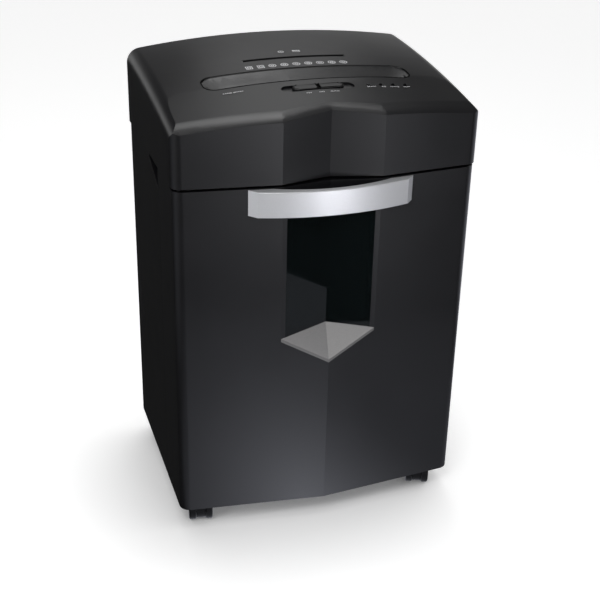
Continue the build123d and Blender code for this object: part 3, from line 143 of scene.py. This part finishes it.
# Base pan with its runners and sockets, and the bin-in switch on the back wall: plain black ABS,
# smoother than the outside because it comes from polished tool steel. The pan snaps into the shell.
# Flow marks of about 30 mm are left from filling the mould.
inner_abs, tree = new_finish("plain_black_abs")
place = add_node(tree, "ShaderNodeTexCoord", {})
flow = add_node(tree, "ShaderNodeTexNoise", {
    "Vector": place.outputs["Object"], "Scale": 30.0, "Detail": 3.0})
tint = add_node(tree, "ShaderNodeMix", {
    "Factor": flow.outputs["Fac"], "A": linear("#0c0c0d"), "B": linear("#151516")}, data_type="RGBA")
gloss = add_node(tree, "ShaderNodeMapRange", {
    "Value": flow.outputs["Fac"], "From Min": 0.3, "From Max": 0.7, "To Min": 0.36, "To Max": 0.46})
skin = add_node(tree, "ShaderNodeBsdfPrincipled", {
    "Base Color": tint.outputs["Result"], "Roughness": gloss.outputs["Result"], "IOR": 1.5})
add_node(tree, "ShaderNodeOutputMaterial", {"Surface": skin.outputs["BSDF"]})

for node in ("base_pan", "castor_sockets", "interlock_body", "interlock_plunger"):
    skin_of(node, 0.3, inner_abs)


# Castors: a nylon hood that swivels on a steel stem, and a pair of nylon wheels on a steel axle.
# The nylon is black and slightly waxy, with scuffs of about 5 mm that dull it in places.
castor_nylon, tree = new_finish("black_castor_nylon")
place = add_node(tree, "ShaderNodeTexCoord", {})
scuff = add_node(tree, "ShaderNodeTexNoise", {
    "Vector": place.outputs["Object"], "Scale": 220.0, "Detail": 5.0})
tint = add_node(tree, "ShaderNodeMix", {
    "Factor": scuff.outputs["Fac"], "A": linear("#0b0b0c"), "B": linear("#1b1b1d")}, data_type="RGBA")
gloss = add_node(tree, "ShaderNodeMapRange", {
    "Value": scuff.outputs["Fac"], "From Min": 0.3, "From Max": 0.7, "To Min": 0.26, "To Max": 0.42})
skin = add_node(tree, "ShaderNodeBsdfPrincipled", {
    "Base Color": tint.outputs["Result"], "Roughness": gloss.outputs["Result"], "IOR": 1.53,
    "Specular IOR Level": 0.12})
add_node(tree, "ShaderNodeOutputMaterial", {"Surface": skin.outputs["BSDF"]})

# Zinc plate: a pale grey metal in crystals of about 4 mm, which differ a little in shade and gloss.
plated_steel, tree = new_finish("zinc_plated_steel")
place = add_node(tree, "ShaderNodeTexCoord", {})
spangle = add_node(tree, "ShaderNodeTexVoronoi", {"Vector": place.outputs["Object"], "Scale": 260.0})
tint = add_node(tree, "ShaderNodeMix", {
    "Factor": spangle.outputs["Distance"],
    "A": linear("#aeb0b3"), "B": linear("#c6c8ca")}, data_type="RGBA")
gloss = add_node(tree, "ShaderNodeMapRange", {
    "Value": spangle.outputs["Distance"], "To Min": 0.26, "To Max": 0.40})
skin = add_node(tree, "ShaderNodeBsdfPrincipled", {
    "Base Color": tint.outputs["Result"], "Roughness": gloss.outputs["Result"], "Metallic": 1.0})
add_node(tree, "ShaderNodeOutputMaterial", {"Surface": skin.outputs["BSDF"]})

for corner in ("front_left", "front_right", "rear_left", "rear_right"):
    skin_of("castor_hood_" + corner, 0.4, castor_nylon)
    skin_of("castor_wheels_" + corner, 0.3, castor_nylon)
    skin_of("castor_stem_" + corner, 0.2, plated_steel)
    skin_of("castor_axle_" + corner, 0.2, plated_steel)


# Bin: a plain ABS tub, screwed behind a textured fascia that folds forward to a ridge
# and wraps round both sides. The whole of it slides out to the front.
skin_of("bin_tub", 0.4, inner_abs)
skin_of("bin_screws", 0.2, plated_steel)
skin_of("bin_fascia", 0.5, black_abs, fold=8)


# Bin window: smoked acrylic, bent along the notch and clipped in from behind.
# It is dark and glossy: it mirrors what lies in front and lets only a little of the bin show.
# Wiping leaves it a little duller in patches of about 17 mm.
smoked_acrylic, tree = new_finish("smoked_acrylic")
place = add_node(tree, "ShaderNodeTexCoord", {})
wipe = add_node(tree, "ShaderNodeTexNoise", {
    "Vector": place.outputs["Object"], "Scale": 60.0, "Detail": 4.0})
gloss = add_node(tree, "ShaderNodeMapRange", {
    "Value": wipe.outputs["Fac"], "From Min": 0.35, "From Max": 0.7, "To Min": 0.02, "To Max": 0.06})
skin = add_node(tree, "ShaderNodeBsdfPrincipled", {
    "Base Color": linear("#283436"), "Roughness": gloss.outputs["Result"], "IOR": 1.49,
    "Transmission Weight": 0.9})
add_node(tree, "ShaderNodeOutputMaterial", {"Surface": skin.outputs["BSDF"]})

window = skin_of("bin_window", 0.0, smoked_acrylic, fold=8)


# Sill under the window and the bowed pull handle: ABS mouldings in silver paint with fine metal flake.
# The sill is glued into the notch; the handle is held by two screws at each end, from inside the fascia.
# Flake of about 0.05 mm is drawn at 0.8 mm so that it shows. It gives a soft metal sheen.
silver_paint, tree = new_finish("silver_painted_abs")
place = add_node(tree, "ShaderNodeTexCoord", {})
flake = add_node(tree, "ShaderNodeTexNoise", {
    "Vector": place.outputs["Object"], "Scale": 1250.0, "Detail": 2.0})
tint = add_node(tree, "ShaderNodeMix", {
    "Factor": flake.outputs["Fac"], "A": linear("#d6d7da"), "B": linear("#e4e5e8")}, data_type="RGBA")
gloss = add_node(tree, "ShaderNodeMapRange", {
    "Value": flake.outputs["Fac"], "From Min": 0.3, "From Max": 0.7, "To Min": 0.33, "To Max": 0.43})
skin = add_node(tree, "ShaderNodeBsdfPrincipled", {
    "Base Color": tint.outputs["Result"], "Roughness": gloss.outputs["Result"], "Metallic": 0.42})
add_node(tree, "ShaderNodeOutputMaterial", {"Surface": skin.outputs["BSDF"]})

# The sill's coat is the silver paint made a darker grey, with the same flake.
# The darker grey is painted shade for the recess that the sill sits in.
sill_shaded_paint, tree = new_finish("silver_paint_with_painted_shade")
place = add_node(tree, "ShaderNodeTexCoord", {})
flake = add_node(tree, "ShaderNodeTexNoise", {
    "Vector": place.outputs["Object"], "Scale": 1250.0, "Detail": 2.0})
tint = add_node(tree, "ShaderNodeMix", {
    "Factor": flake.outputs["Fac"], "A": linear("#676665"), "B": linear("#807f7e")}, data_type="RGBA")
skin = add_node(tree, "ShaderNodeBsdfPrincipled", {
    "Base Color": tint.outputs["Result"], "Roughness": 0.34, "Metallic": 0.3})
add_node(tree, "ShaderNodeOutputMaterial", {"Surface": skin.outputs["BSDF"]})

skin_of("window_sill", 0.2, sill_shaded_paint, fold=5)
skin_of("pull_handle", 0.5, silver_paint)
skin_of("handle_screws", 0.2, plated_steel)


# Tray of the cutting head, with the steel side plates and rods that carry the cutters.
# The plates are screwed to the tray, and screws from below hold the top cover to it.
skin_of("head_tray", 0.3, inner_abs)
for node in ("side_plate_left", "side_plate_right", "tie_rods"):
    skin_of(node, 0.2, plated_steel)
for node in ("head_screws", "plate_screws"):
    skin_of(node, 0.2, plated_steel)


# Cutters, shafts and steel gears: tool steel, cut and then ground. The gears sit fast on their shafts.
# Grinding leaves the steel grey and bright in fine lines, drawn 1.1 mm apart so that they show.
ground_steel, tree = new_finish("ground_tool_steel")
place = add_node(tree, "ShaderNodeTexCoord", {})
stretch = add_node(tree, "ShaderNodeMapping", {
    "Vector": place.outputs["Object"], "Scale": (40.0, 900.0, 900.0)})
grinding = add_node(tree, "ShaderNodeTexNoise", {
    "Vector": stretch.outputs["Vector"], "Scale": 1.0, "Detail": 4.0})
tint = add_node(tree, "ShaderNodeMix", {
    "Factor": grinding.outputs["Fac"], "A": linear("#85868a"), "B": linear("#b4b5b8")}, data_type="RGBA")
gloss = add_node(tree, "ShaderNodeMapRange", {
    "Value": grinding.outputs["Fac"], "From Min": 0.3, "From Max": 0.7, "To Min": 0.24, "To Max": 0.40})
skin = add_node(tree, "ShaderNodeBsdfPrincipled", {
    "Base Color": tint.outputs["Result"], "Roughness": gloss.outputs["Result"], "Metallic": 1.0})
add_node(tree, "ShaderNodeOutputMaterial", {"Surface": skin.outputs["BSDF"]})

for node in ("front_cutter", "rear_cutter", "motor_shaft", "reduction_axle", "motor_pinion"):
    skin_of(node, 0.0, ground_steel)
for node in ("rear_sync_gear", "front_sync_gear", "output_gear"):
    skin_of(node, 0.0, ground_steel)


# Bushes of the cutters: sintered bronze, pressed into the side plates.
# The metal is dull and brown, with pores of about 0.1 mm, drawn at 0.6 mm so that they show.
sintered_bronze, tree = new_finish("sintered_bronze")
place = add_node(tree, "ShaderNodeTexCoord", {})
pores = add_node(tree, "ShaderNodeTexNoise", {
    "Vector": place.outputs["Object"], "Scale": 1600.0, "Detail": 2.0})
tint = add_node(tree, "ShaderNodeMix", {
    "Factor": pores.outputs["Fac"], "A": linear("#8a6236"), "B": linear("#c9995c")}, data_type="RGBA")
skin = add_node(tree, "ShaderNodeBsdfPrincipled", {
    "Base Color": tint.outputs["Result"], "Roughness": 0.45, "Metallic": 1.0})
add_node(tree, "ShaderNodeOutputMaterial", {"Surface": skin.outputs["BSDF"]})
skin_of("cutter_bushes", 0.2, sintered_bronze)


# Reduction gear between the motor and the cutters: moulded in natural nylon, free on its axle.
# The nylon is a milky cream, clouded in patches of about 8 mm.
natural_nylon, tree = new_finish("natural_nylon")
place = add_node(tree, "ShaderNodeTexCoord", {})
cloud = add_node(tree, "ShaderNodeTexNoise", {
    "Vector": place.outputs["Object"], "Scale": 120.0, "Detail": 3.0})
tint = add_node(tree, "ShaderNodeMix", {
    "Factor": cloud.outputs["Fac"], "A": linear("#d9d3c2"), "B": linear("#ebe7da")}, data_type="RGBA")
skin = add_node(tree, "ShaderNodeBsdfPrincipled", {
    "Base Color": tint.outputs["Result"], "Roughness": 0.42, "IOR": 1.53})
add_node(tree, "ShaderNodeOutputMaterial", {"Surface": skin.outputs["BSDF"]})
skin_of("reduction_gear", 0.0, natural_nylon)


# Stripper combs between the discs: moulded in glass-filled nylon and held by the side plates.
# The skin is dark and dull, with fibres of about 0.3 mm, drawn at 1.4 mm so that they show.
filled_nylon, tree = new_finish("glass_filled_nylon")
place = add_node(tree, "ShaderNodeTexCoord", {})
fibre = add_node(tree, "ShaderNodeTexNoise", {
    "Vector": place.outputs["Object"], "Scale": 700.0, "Detail": 4.0})
tint = add_node(tree, "ShaderNodeMix", {
    "Factor": fibre.outputs["Fac"], "A": linear("#151517"), "B": linear("#2a2a2d")}, data_type="RGBA")
skin = add_node(tree, "ShaderNodeBsdfPrincipled", {
    "Base Color": tint.outputs["Result"], "Roughness": 0.55, "IOR": 1.53})
add_node(tree, "ShaderNodeOutputMaterial", {"Surface": skin.outputs["BSDF"]})
for node in ("front_stripper", "rear_stripper"):
    skin_of(node, 0.0, filled_nylon)


# Motor: a drawn can of plated steel, closed by a moulded ABS end bell.
# It lies behind the cutters, on the right side plate, and drives them through the gears.
skin_of("motor_can", 0.3, plated_steel)
skin_of("motor_end_bell", 0.3, inner_abs)


# Boards and what is soldered to them, with the paper sensor and the switch: glass-epoxy boards
# under green solder mask. Copper shows through the mask as paler blocks of about 6 by 3 mm.
solder_mask, tree = new_finish("green_solder_mask")
place = add_node(tree, "ShaderNodeTexCoord", {})
tracks = add_node(tree, "ShaderNodeTexBrick", {
    "Vector": place.outputs["Object"], "Color1": linear("#12502c"), "Color2": linear("#155a32"),
    "Mortar": linear("#0e3f23"), "Scale": 90.0, "Mortar Size": 0.03})
skin = add_node(tree, "ShaderNodeBsdfPrincipled", {
    "Base Color": tracks.outputs["Color"], "Roughness": 0.32, "IOR": 1.55})
add_node(tree, "ShaderNodeOutputMaterial", {"Surface": skin.outputs["BSDF"]})
for node in ("control_board", "indicator_board"):
    skin_of(node, 0.1, solder_mask)

# Epoxy cases, blue-black, which differ in shade over about 40 mm from one component to the next.
component_case, tree = new_finish("component_cases")
place = add_node(tree, "ShaderNodeTexCoord", {})
batch = add_node(tree, "ShaderNodeTexNoise", {
    "Vector": place.outputs["Object"], "Scale": 24.0, "Detail": 1.0})
tint = add_node(tree, "ShaderNodeMix", {
    "Factor": batch.outputs["Fac"], "A": linear("#1c2433"), "B": linear("#3a4152")}, data_type="RGBA")
skin = add_node(tree, "ShaderNodeBsdfPrincipled", {
    "Base Color": tint.outputs["Result"], "Roughness": 0.4, "IOR": 1.5})
add_node(tree, "ShaderNodeOutputMaterial", {"Surface": skin.outputs["BSDF"]})
skin_of("board_components", 0.4, component_case)
for node in ("paper_sensor", "switch_body"):
    skin_of(node, 0.2, inner_abs)


# Top cover of the cutting head: one textured ABS moulding with a crowned top, a rolled front edge
# and a V notch. It is screwed to the tray from below.
skin_of("top_cover", 0.5, black_abs, fold=8)


# Paper entry, disc chute and cord gland: separate ABS mouldings with a smoother skin,
# clipped in from inside. The skin is satin, rubbed in patches of about 25 mm where paper passes.
smooth_abs, tree = new_finish("satin_black_abs")
place = add_node(tree, "ShaderNodeTexCoord", {})
rub = add_node(tree, "ShaderNodeTexNoise", {
    "Vector": place.outputs["Object"], "Scale": 40.0, "Detail": 5.0})
tint = add_node(tree, "ShaderNodeMix", {
    "Factor": rub.outputs["Fac"], "A": linear("#0f0f11"), "B": linear("#161618")}, data_type="RGBA")
gloss = add_node(tree, "ShaderNodeMapRange", {
    "Value": rub.outputs["Fac"], "From Min": 0.3, "From Max": 0.7, "To Min": 0.34, "To Max": 0.44})
skin = add_node(tree, "ShaderNodeBsdfPrincipled", {
    "Base Color": tint.outputs["Result"], "Roughness": gloss.outputs["Result"], "IOR": 1.5})
add_node(tree, "ShaderNodeOutputMaterial", {"Surface": skin.outputs["BSDF"]})
for node, edge in (("disc_chute", 0.5), ("cord_gland", 0.3)):
    skin_of(node, edge, smooth_abs)
entry = skin_of("paper_entry", 0.6, smooth_abs)

crown_top = 0.555
crown_top_y = 0.165
across_radius = 1.150
along_radius = 1.700


def crown_height(x, y):
    across = crown_top - across_radius + math.sqrt(across_radius ** 2 - x ** 2)
    along = across - (crown_top - along_radius)
    return crown_top - along_radius + math.sqrt(along ** 2 - (y - crown_top_y) ** 2)


# The funnel's floor rises to the rim at both ends, as a scoop over the last 27 mm.
# The floor is first cut into strips, and each point of it is then raised.
scoop_start = 0.0960
scoop_length = 0.0271
scoop_end = 0.1231
strip_count = 18
strip_width = 0.0015
funnel_front = -0.0350
funnel_back = -0.0029
rim_depth = 0.0012
floor_slope = 0.32
floor_back = -0.0030
funnel = bmesh.new()
funnel.from_mesh(entry.data)
for step in range(strip_count):
    for side in (-1, 1):
        cut = (side * (scoop_start + strip_width * step), 0, 0)
        every = funnel.verts[:] + funnel.edges[:] + funnel.faces[:]
        bmesh.ops.bisect_plane(funnel, geom=every, plane_co=cut, plane_no=(1, 0, 0))
for point in funnel.verts:
    x, y, z = point.co
    depth = crown_height(x, y) - z
    floor_depth = rim_depth - floor_slope * (y - floor_back)
    inside = scoop_start < abs(x) < scoop_end and funnel_front < y < funnel_back
    if inside and rim_depth < depth < floor_depth + rim_depth:
        point.co.z += (depth - rim_depth) * ((abs(x) - scoop_start) / scoop_length) ** 2
funnel.to_mesh(entry.data)
funnel.free()
bpy.ops.mesh.customdata_custom_splitnormals_clear()
bpy.ops.object.shade_smooth_by_angle(angle=math.radians(24))

# The rim round the entry, where it lies on the cover's surface, is painted near black:
# a painted shadow of the gap between the entry and the cover. The black varies in specks of about 3 mm.
shade_rim_depth = 0.0008
gap_shade_paint, tree = new_finish("painted_gap_shade_black")
place = add_node(tree, "ShaderNodeTexCoord", {})
shade_speckle = add_node(tree, "ShaderNodeTexNoise", {
    "Vector": place.outputs["Object"], "Scale": 300.0, "Detail": 3.0})
tint = add_node(tree, "ShaderNodeMix", {
    "Factor": shade_speckle.outputs["Fac"], "A": linear("#020202"), "B": linear("#070707")}, data_type="RGBA")
skin = add_node(tree, "ShaderNodeBsdfPrincipled", {
    "Base Color": tint.outputs["Result"], "Roughness": 0.8, "Specular IOR Level": 0.05})
add_node(tree, "ShaderNodeOutputMaterial", {"Surface": skin.outputs["BSDF"]})
entry.data.materials.append(gap_shade_paint)
# Rim faces that lie on the cover's surface get the painted shadow.
for face in entry.data.polygons:
    middle = face.center
    if crown_height(middle.x, middle.y) - middle.z < shade_rim_depth and face.normal.z > 0.5:
        face.material_index = 1


# Slide switch knob: satin ABS capsule with a thumb groove, on a stem down to the switch.
# A ring round the edge of its top and its groove are painted near black:
# painted shade for the gap round it and for the depth of the groove.
knob_depth = 0.0004
groove_half = 0.0016
shade_ring_width = 0.0014
knob = skin_of("switch_knob", 0.2, smooth_abs)
knob.data.materials.append(gap_shade_paint)
bpy.ops.object.mode_set(mode="EDIT")
bpy.ops.mesh.select_all(action="DESELECT")
bpy.ops.object.mode_set(mode="OBJECT")
# Top faces and groove faces get the painted shade; the inset then gives the top inside the ring its own
# finish.
for face in knob.data.polygons:
    middle = face.center
    on_top = face.normal.z > 0.9 and crown_height(middle.x, middle.y) - middle.z < knob_depth
    face.material_index = 1 if on_top or abs(middle.x) < groove_half else 0
    face.select = on_top
bpy.ops.object.mode_set(mode="EDIT")
bpy.ops.mesh.inset(thickness=shade_ring_width)
knob.active_material_index = 0
bpy.ops.object.material_slot_assign()
bpy.ops.object.mode_set(mode="OBJECT")
bpy.ops.mesh.customdata_custom_splitnormals_clear()
bpy.ops.object.shade_smooth_by_angle(angle=math.radians(24))


# Lamp lenses: four light pipes of smoky polycarbonate, pressed into the cover over the indicator board.
# They are dark and glossy while unlit, with a haze of about 2 mm inside.
lamp_pc, tree = new_finish("smoky_polycarbonate")
place = add_node(tree, "ShaderNodeTexCoord", {})
haze = add_node(tree, "ShaderNodeTexNoise", {
    "Vector": place.outputs["Object"], "Scale": 500.0, "Detail": 2.0})
tint = add_node(tree, "ShaderNodeMix", {
    "Factor": haze.outputs["Fac"], "A": linear("#050506"), "B": linear("#0b0b0d")}, data_type="RGBA")
skin = add_node(tree, "ShaderNodeBsdfPrincipled", {
    "Base Color": tint.outputs["Result"], "Roughness": 0.10, "IOR": 1.58, "Specular IOR Level": 0.1})
add_node(tree, "ShaderNodeOutputMaterial", {"Surface": skin.outputs["BSDF"]})
skin_of("indicator_lenses", 0.0, lamp_pc)


# Printed marks: white pad-printed ink on the cover, a few hundredths of a millimetre thick.
# Words stand by the switch, the lamps and the entry, and small signs by the disc slot and above the entry.
def flat_word(word, x, y, height):
    bpy.ops.object.text_add(location=(0, 0, 0))
    mark = bpy.context.object
    mark.data.body = word
    mark.data.size = height / 0.7
    mark.data.align_x = "CENTER"
    mark.data.align_y = "CENTER"
    mark.data.space_character = 1.05
    mark.data.resolution_u = 3
    bpy.ops.object.convert(target="MESH")
    mark.data.transform(Matrix.Translation((x, y, 0)))
    return mark


# The primitive that has just been added becomes an outline as wide as line.
def outlined(x, y, line):
    bpy.ops.mesh.inset(thickness=line)
    bpy.ops.mesh.delete(type="FACE")
    bpy.ops.object.mode_set(mode="OBJECT")
    mark = bpy.context.object
    mark.data.transform(Matrix.Translation((x, y, 0)))
    return mark


def flat_ring(x, y, radius, line):
    bpy.ops.mesh.primitive_circle_add(vertices=36, radius=radius, fill_type="NGON", enter_editmode=True)
    return outlined(x, y, line)


def flat_frame(x, y, width, depth, line):
    bpy.ops.mesh.primitive_plane_add(size=1.0, enter_editmode=True)
    bpy.ops.transform.resize(value=(width, depth, 1))
    return outlined(x, y, line)


word_height = 0.0026
small_word_height = 0.0024
sign_line = 0.0009
thin_line = 0.0005
disc_signs_y = 0.0520
sign_row_y = 0.0085
first_ring_x = -0.0330
ring_pitch = 0.0145
bpy.ops.object.select_all(action="DESELECT")
marks = []
for word, x in (("REV", -0.0150), ("OFF", 0.000), ("AUTO", 0.0150)):
    marks.append(flat_word(word, x, -0.0755, word_height))
for word, x in (("READY", 0.0620), ("BIN", 0.0765), ("DOOR", 0.0900), ("HEAT", 0.1050)):
    marks.append(flat_word(word, x, -0.0672, small_word_height))
marks.append(flat_word("PAPER ENTRY", -0.0960, -0.0530, word_height))
marks.append(flat_ring(-0.0100, disc_signs_y, 0.0036, sign_line))
marks.append(flat_ring(-0.0100, disc_signs_y, 0.0012, thin_line))
marks.append(flat_frame(0.0090, disc_signs_y, 0.0090, 0.0056, sign_line))
marks.append(flat_frame(0.0090, disc_signs_y + 0.0012, 0.0078, 0.0014, thin_line))
for count in range(7):
    marks.append(flat_ring(first_ring_x + ring_pitch * count, sign_row_y, 0.0046, sign_line))
    marks.append(flat_ring(first_ring_x + ring_pitch * count, sign_row_y, 0.0022, 0.0010))
for x in (-0.0610, -0.0470):
    marks.append(flat_frame(x, sign_row_y, 0.0080, 0.0086, sign_line))
    marks.append(flat_frame(x, sign_row_y, 0.0040, 0.0046, 0.0008))
bpy.ops.object.select_all(action="DESELECT")
for mark in marks:
    mark.select_set(True)
bpy.context.view_layer.objects.active = marks[0]
bpy.ops.object.join()
printed = bpy.context.object
printed.name = "printed_marks"
ink_gap = 0.00002
ink_thickness = 0.00005
for point in printed.data.vertices:
    point.co.z = crown_height(point.co.x, point.co.y) + ink_gap
ink = printed.modifiers.new("ink_film", "SOLIDIFY")
ink.thickness = ink_thickness
ink.offset = 1.0
bpy.ops.object.modifier_apply(modifier="ink_film")

# The ink covers unevenly. Its mottle of about 0.2 mm is drawn at 0.8 mm so that it shows.
white_ink, tree = new_finish("white_pad_ink")
place = add_node(tree, "ShaderNodeTexCoord", {})
cover = add_node(tree, "ShaderNodeTexNoise", {
    "Vector": place.outputs["Object"], "Scale": 1200.0, "Detail": 2.0})
tint = add_node(tree, "ShaderNodeMix", {
    "Factor": cover.outputs["Fac"], "A": linear("#d9dadc"), "B": linear("#f0f0f2")}, data_type="RGBA")
skin = add_node(tree, "ShaderNodeBsdfPrincipled", {
    "Base Color": tint.outputs["Result"], "Roughness": 0.5, "IOR": 1.5})
add_node(tree, "ShaderNodeOutputMaterial", {"Surface": skin.outputs["BSDF"]})
printed.data.materials.clear()
printed.data.materials.append(white_ink)
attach(printed, frame["nodes"]["top_cover"]["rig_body"])


# Floor: white to the eye, and softly darker where the part shades it. Mirrored rays pass through it
# to the boards below, so that the sides of the part mirror bright and dark areas as they do in a studio.
# The shade leans to the left and the front.
floor_width = 40.0
floor_white = 0.76
white_floor, tree = new_finish("white_floor")
way = add_node(tree, "ShaderNodeLightPath", {})
eyed = add_node(tree, "ShaderNodeMath", {
    0: way.outputs["Is Camera Ray"], 1: way.outputs["Is Transmission Ray"]}, operation="MAXIMUM")
lean = add_node(tree, "ShaderNodeCombineXYZ", {"X": 0.40, "Y": 0.25, "Z": 0.88})
shaded = add_node(tree, "ShaderNodeAmbientOcclusion", {
    "Distance": 0.2, "Normal": lean.outputs["Vector"]}, samples=12)
pale = add_node(tree, "ShaderNodeMath", {0: shaded.outputs["AO"], 1: floor_white}, operation="MULTIPLY")
glow = add_node(tree, "ShaderNodeMath", {
    0: eyed.outputs["Value"], 1: pale.outputs["Value"]}, operation="MULTIPLY")
skin = add_node(tree, "ShaderNodeBsdfPrincipled", {
    "Base Color": linear("#d8d8d8"), "Roughness": 0.35, "IOR": 1.9,
    "Emission Color": linear("#ffffff"), "Emission Strength": glow.outputs["Value"]})
add_node(tree, "ShaderNodeOutputMaterial", {"Surface": skin.outputs["BSDF"]})

bpy.ops.object.select_all(action="DESELECT")
bpy.ops.mesh.primitive_plane_add(size=floor_width)
floor = bpy.context.object
floor.name = "floor"
floor.data.materials.append(white_floor)
floor.visible_glossy = False


# Boards under the floor, which mirrored rays alone can see: one in front with a bright patch before
# the ridge, and plain ones at the back and right and at the far left.
# Each is an outline filled with one face.
board_z = -0.001
patch_centre = (-0.02, -0.16, 0.0)
patch_reach = (0.24, 0.55, 1.0)


def mirrored_board(name, corners, patch, level):
    finish, tree = new_finish(name)
    place = add_node(tree, "ShaderNodeTexCoord", {})
    spot = add_node(tree, "ShaderNodeMapping", {
        "Vector": place.outputs["Object"], "Location": patch_centre, "Scale": patch_reach},
        vector_type="TEXTURE")
    fall = add_node(tree, "ShaderNodeTexGradient", {
        "Vector": spot.outputs["Vector"]}, gradient_type="QUADRATIC_SPHERE")
    lit = add_node(tree, "ShaderNodeMath", {
        0: fall.outputs["Fac"], 1: patch, 2: level}, operation="MULTIPLY_ADD")
    glow = add_node(tree, "ShaderNodeEmission", {
        "Color": linear("#f0f3ff"), "Strength": lit.outputs["Value"]})
    add_node(tree, "ShaderNodeOutputMaterial", {"Surface": glow.outputs["Emission"]})
    shape = bpy.data.meshes.new(name)
    shape.from_pydata([(x, y, board_z) for x, y in corners], [], [tuple(range(len(corners)))])
    shape.materials.append(finish)
    board = bpy.data.objects.new(name, shape)
    bpy.context.scene.collection.objects.link(board)
    board.visible_camera = False
    board.visible_diffuse = False
    board.visible_shadow = False


front = [
    (-0.40, -0.60), (0.05, -0.64), (0.39, -0.73), (0.56, 0.05),
    (-0.17, 0.05), (-0.17, -0.14), (-0.40, -0.14)]
rear = [(-0.14, 0.06), (0.75, 0.06), (0.75, -0.45), (3.0, -0.45), (3.0, 3.0), (-0.14, 3.0)]
left = [(-3.0, -0.6), (-0.75, -0.6), (-0.75, 0.2), (-3.0, 0.2)]
mirrored_board("front_board", front, 2.4, 0.33)
mirrored_board("rear_board", rear, 0.0, 0.85)
mirrored_board("left_board", left, 0.0, 0.35)


# Light: soft boxes behind and overhead for the sheen on the top, a key from the upper left and a fill
# from the left. Small low boxes in front light the head, the handle and the sill.
# The window is kept out of the low boxes' light, because it would mirror them as white squares.
def soft_box(name, place, target, size, power, colour):
    lamp = bpy.data.objects.new(name, bpy.data.lights.new(name, "AREA"))
    lamp.data.shape = "RECTANGLE"
    lamp.data.size = size[0]
    lamp.data.size_y = size[1]
    lamp.data.energy = power
    lamp.data.color = linear(colour)[:3]
    aim = (Vector(target) - Vector(place)).to_track_quat("-Z", "Y").to_matrix().to_4x4()
    lamp.matrix_world = Matrix.Translation(place) @ aim
    bpy.context.scene.collection.objects.link(lamp)
    return lamp


unlit = bpy.data.collections.new("window_without_low_boxes")
unlit.objects.link(window)
unlit.collection_objects[0].light_linking.link_state = "EXCLUDE"
soft_box("back_box", (0.42, 1.43, 1.66), (0, 0, 0.55), (0.60, 1.00), 1.6, "#ffffff")
soft_box("over_box", (0.06, 0.50, 2.10), (-0.05, -0.1, 0.52), (0.70, 1.00), 8.0, "#ffffff")
soft_box("top_box", (0.24, 0.05, 2.2), (0, -0.1, 0.53), (0.45, 0.5), 4.0, "#ffffff")
soft_box("key_box", (-0.95, -1.5, 2.1), (0, -0.1, 0.35), (0.8, 0.8), 20.0, "#ffffff")
soft_box("left_box", (-1.3, -0.8, 0.7), (-0.1, -0.1, 0.43), (0.5, 0.5), 5.0, "#ffffff")
low_boxes = [
    soft_box("low_front_box", (0.30, -1.2, 0.20), (0, -0.1, 0.49), (0.18, 0.18), 2.1, "#fafaff"),
    soft_box("low_mid_box", (0.10, -1.25, 0.14), (0, -0.1, 0.49), (0.16, 0.16), 0.25, "#f4f5ff"),
    soft_box("sill_box", (0.10, -1.35, 0.52), (0, -0.12, 0.25), (0.15, 0.15), 0.80, "#ffffff"),
    soft_box("low_right_box", (0.50, -1.1, 0.20), (0, -0.1, 0.47), (0.16, 0.16), 0.45, "#f4f5ff"),
]
for box in low_boxes:
    box.light_linking.receiver_collection = unlit


# Room: dim all round and a little lighter overhead.
# A pale wall stands round the horizon for every ray but the diffuse ones.
room = bpy.data.worlds.new("room")
bpy.context.scene.world = room
room.use_nodes = True
tree = room.node_tree
tree.nodes.clear()
place = add_node(tree, "ShaderNodeTexCoord", {})
height = add_node(tree, "ShaderNodeSeparateXYZ", {"Vector": place.outputs["Generated"]})
shade = add_node(tree, "ShaderNodeMapRange", {
    "Value": height.outputs["Z"], "From Min": 0.3, "From Max": 1.0, "To Min": 0.02, "To Max": 0.20},
    interpolation_type="SMOOTHSTEP")
wall = add_node(tree, "ShaderNodeMapRange", {
    "Value": height.outputs["Z"], "From Min": 0.10, "From Max": 0.28, "To Min": 0.90, "To Max": 0.0},
    interpolation_type="SMOOTHSTEP")
above = add_node(tree, "ShaderNodeMath", {0: height.outputs["Z"], 1: -0.06}, operation="GREATER_THAN")
way = add_node(tree, "ShaderNodeLightPath", {})
eyed = add_node(tree, "ShaderNodeMath", {
    0: way.outputs["Is Camera Ray"], 1: way.outputs["Is Transmission Ray"]}, operation="MAXIMUM")
seen = add_node(tree, "ShaderNodeMath", {
    0: eyed.outputs["Value"], 1: way.outputs["Is Glossy Ray"]}, operation="MAXIMUM")
shown = add_node(tree, "ShaderNodeMath", {
    0: seen.outputs["Value"], 1: above.outputs["Value"]}, operation="MULTIPLY")
level = add_node(tree, "ShaderNodeMath", {
    0: shown.outputs["Value"], 1: wall.outputs["Result"],
    2: shade.outputs["Result"]}, operation="MULTIPLY_ADD")
sky = add_node(tree, "ShaderNodeBackground", {
    "Color": linear("#ffffff"), "Strength": level.outputs["Value"]})
add_node(tree, "ShaderNodeOutputWorld", {"Surface": sky.outputs["Background"]})


# Camera: eye, aim, roll and lens of the photograph, which is square.
# It looks down on the part from the front left.
eye = Matrix.Translation((-0.41331, -1.27188, 0.90618))
aim = Matrix.Rotation(-0.3176, 4, "Z") @ Matrix.Rotation(math.pi / 2 - 0.4596, 4, "X")
camera = bpy.data.objects.new("camera", bpy.data.cameras.new("camera"))
camera.matrix_world = eye @ aim @ Matrix.Rotation(0.0245, 4, "Z")
camera.data.lens = 70.24
camera.data.sensor_width = 36.0
camera.data.clip_end = 60.0
bpy.context.scene.collection.objects.link(camera)
bpy.context.scene.camera = camera
bpy.context.scene.view_settings.view_transform = "Standard"
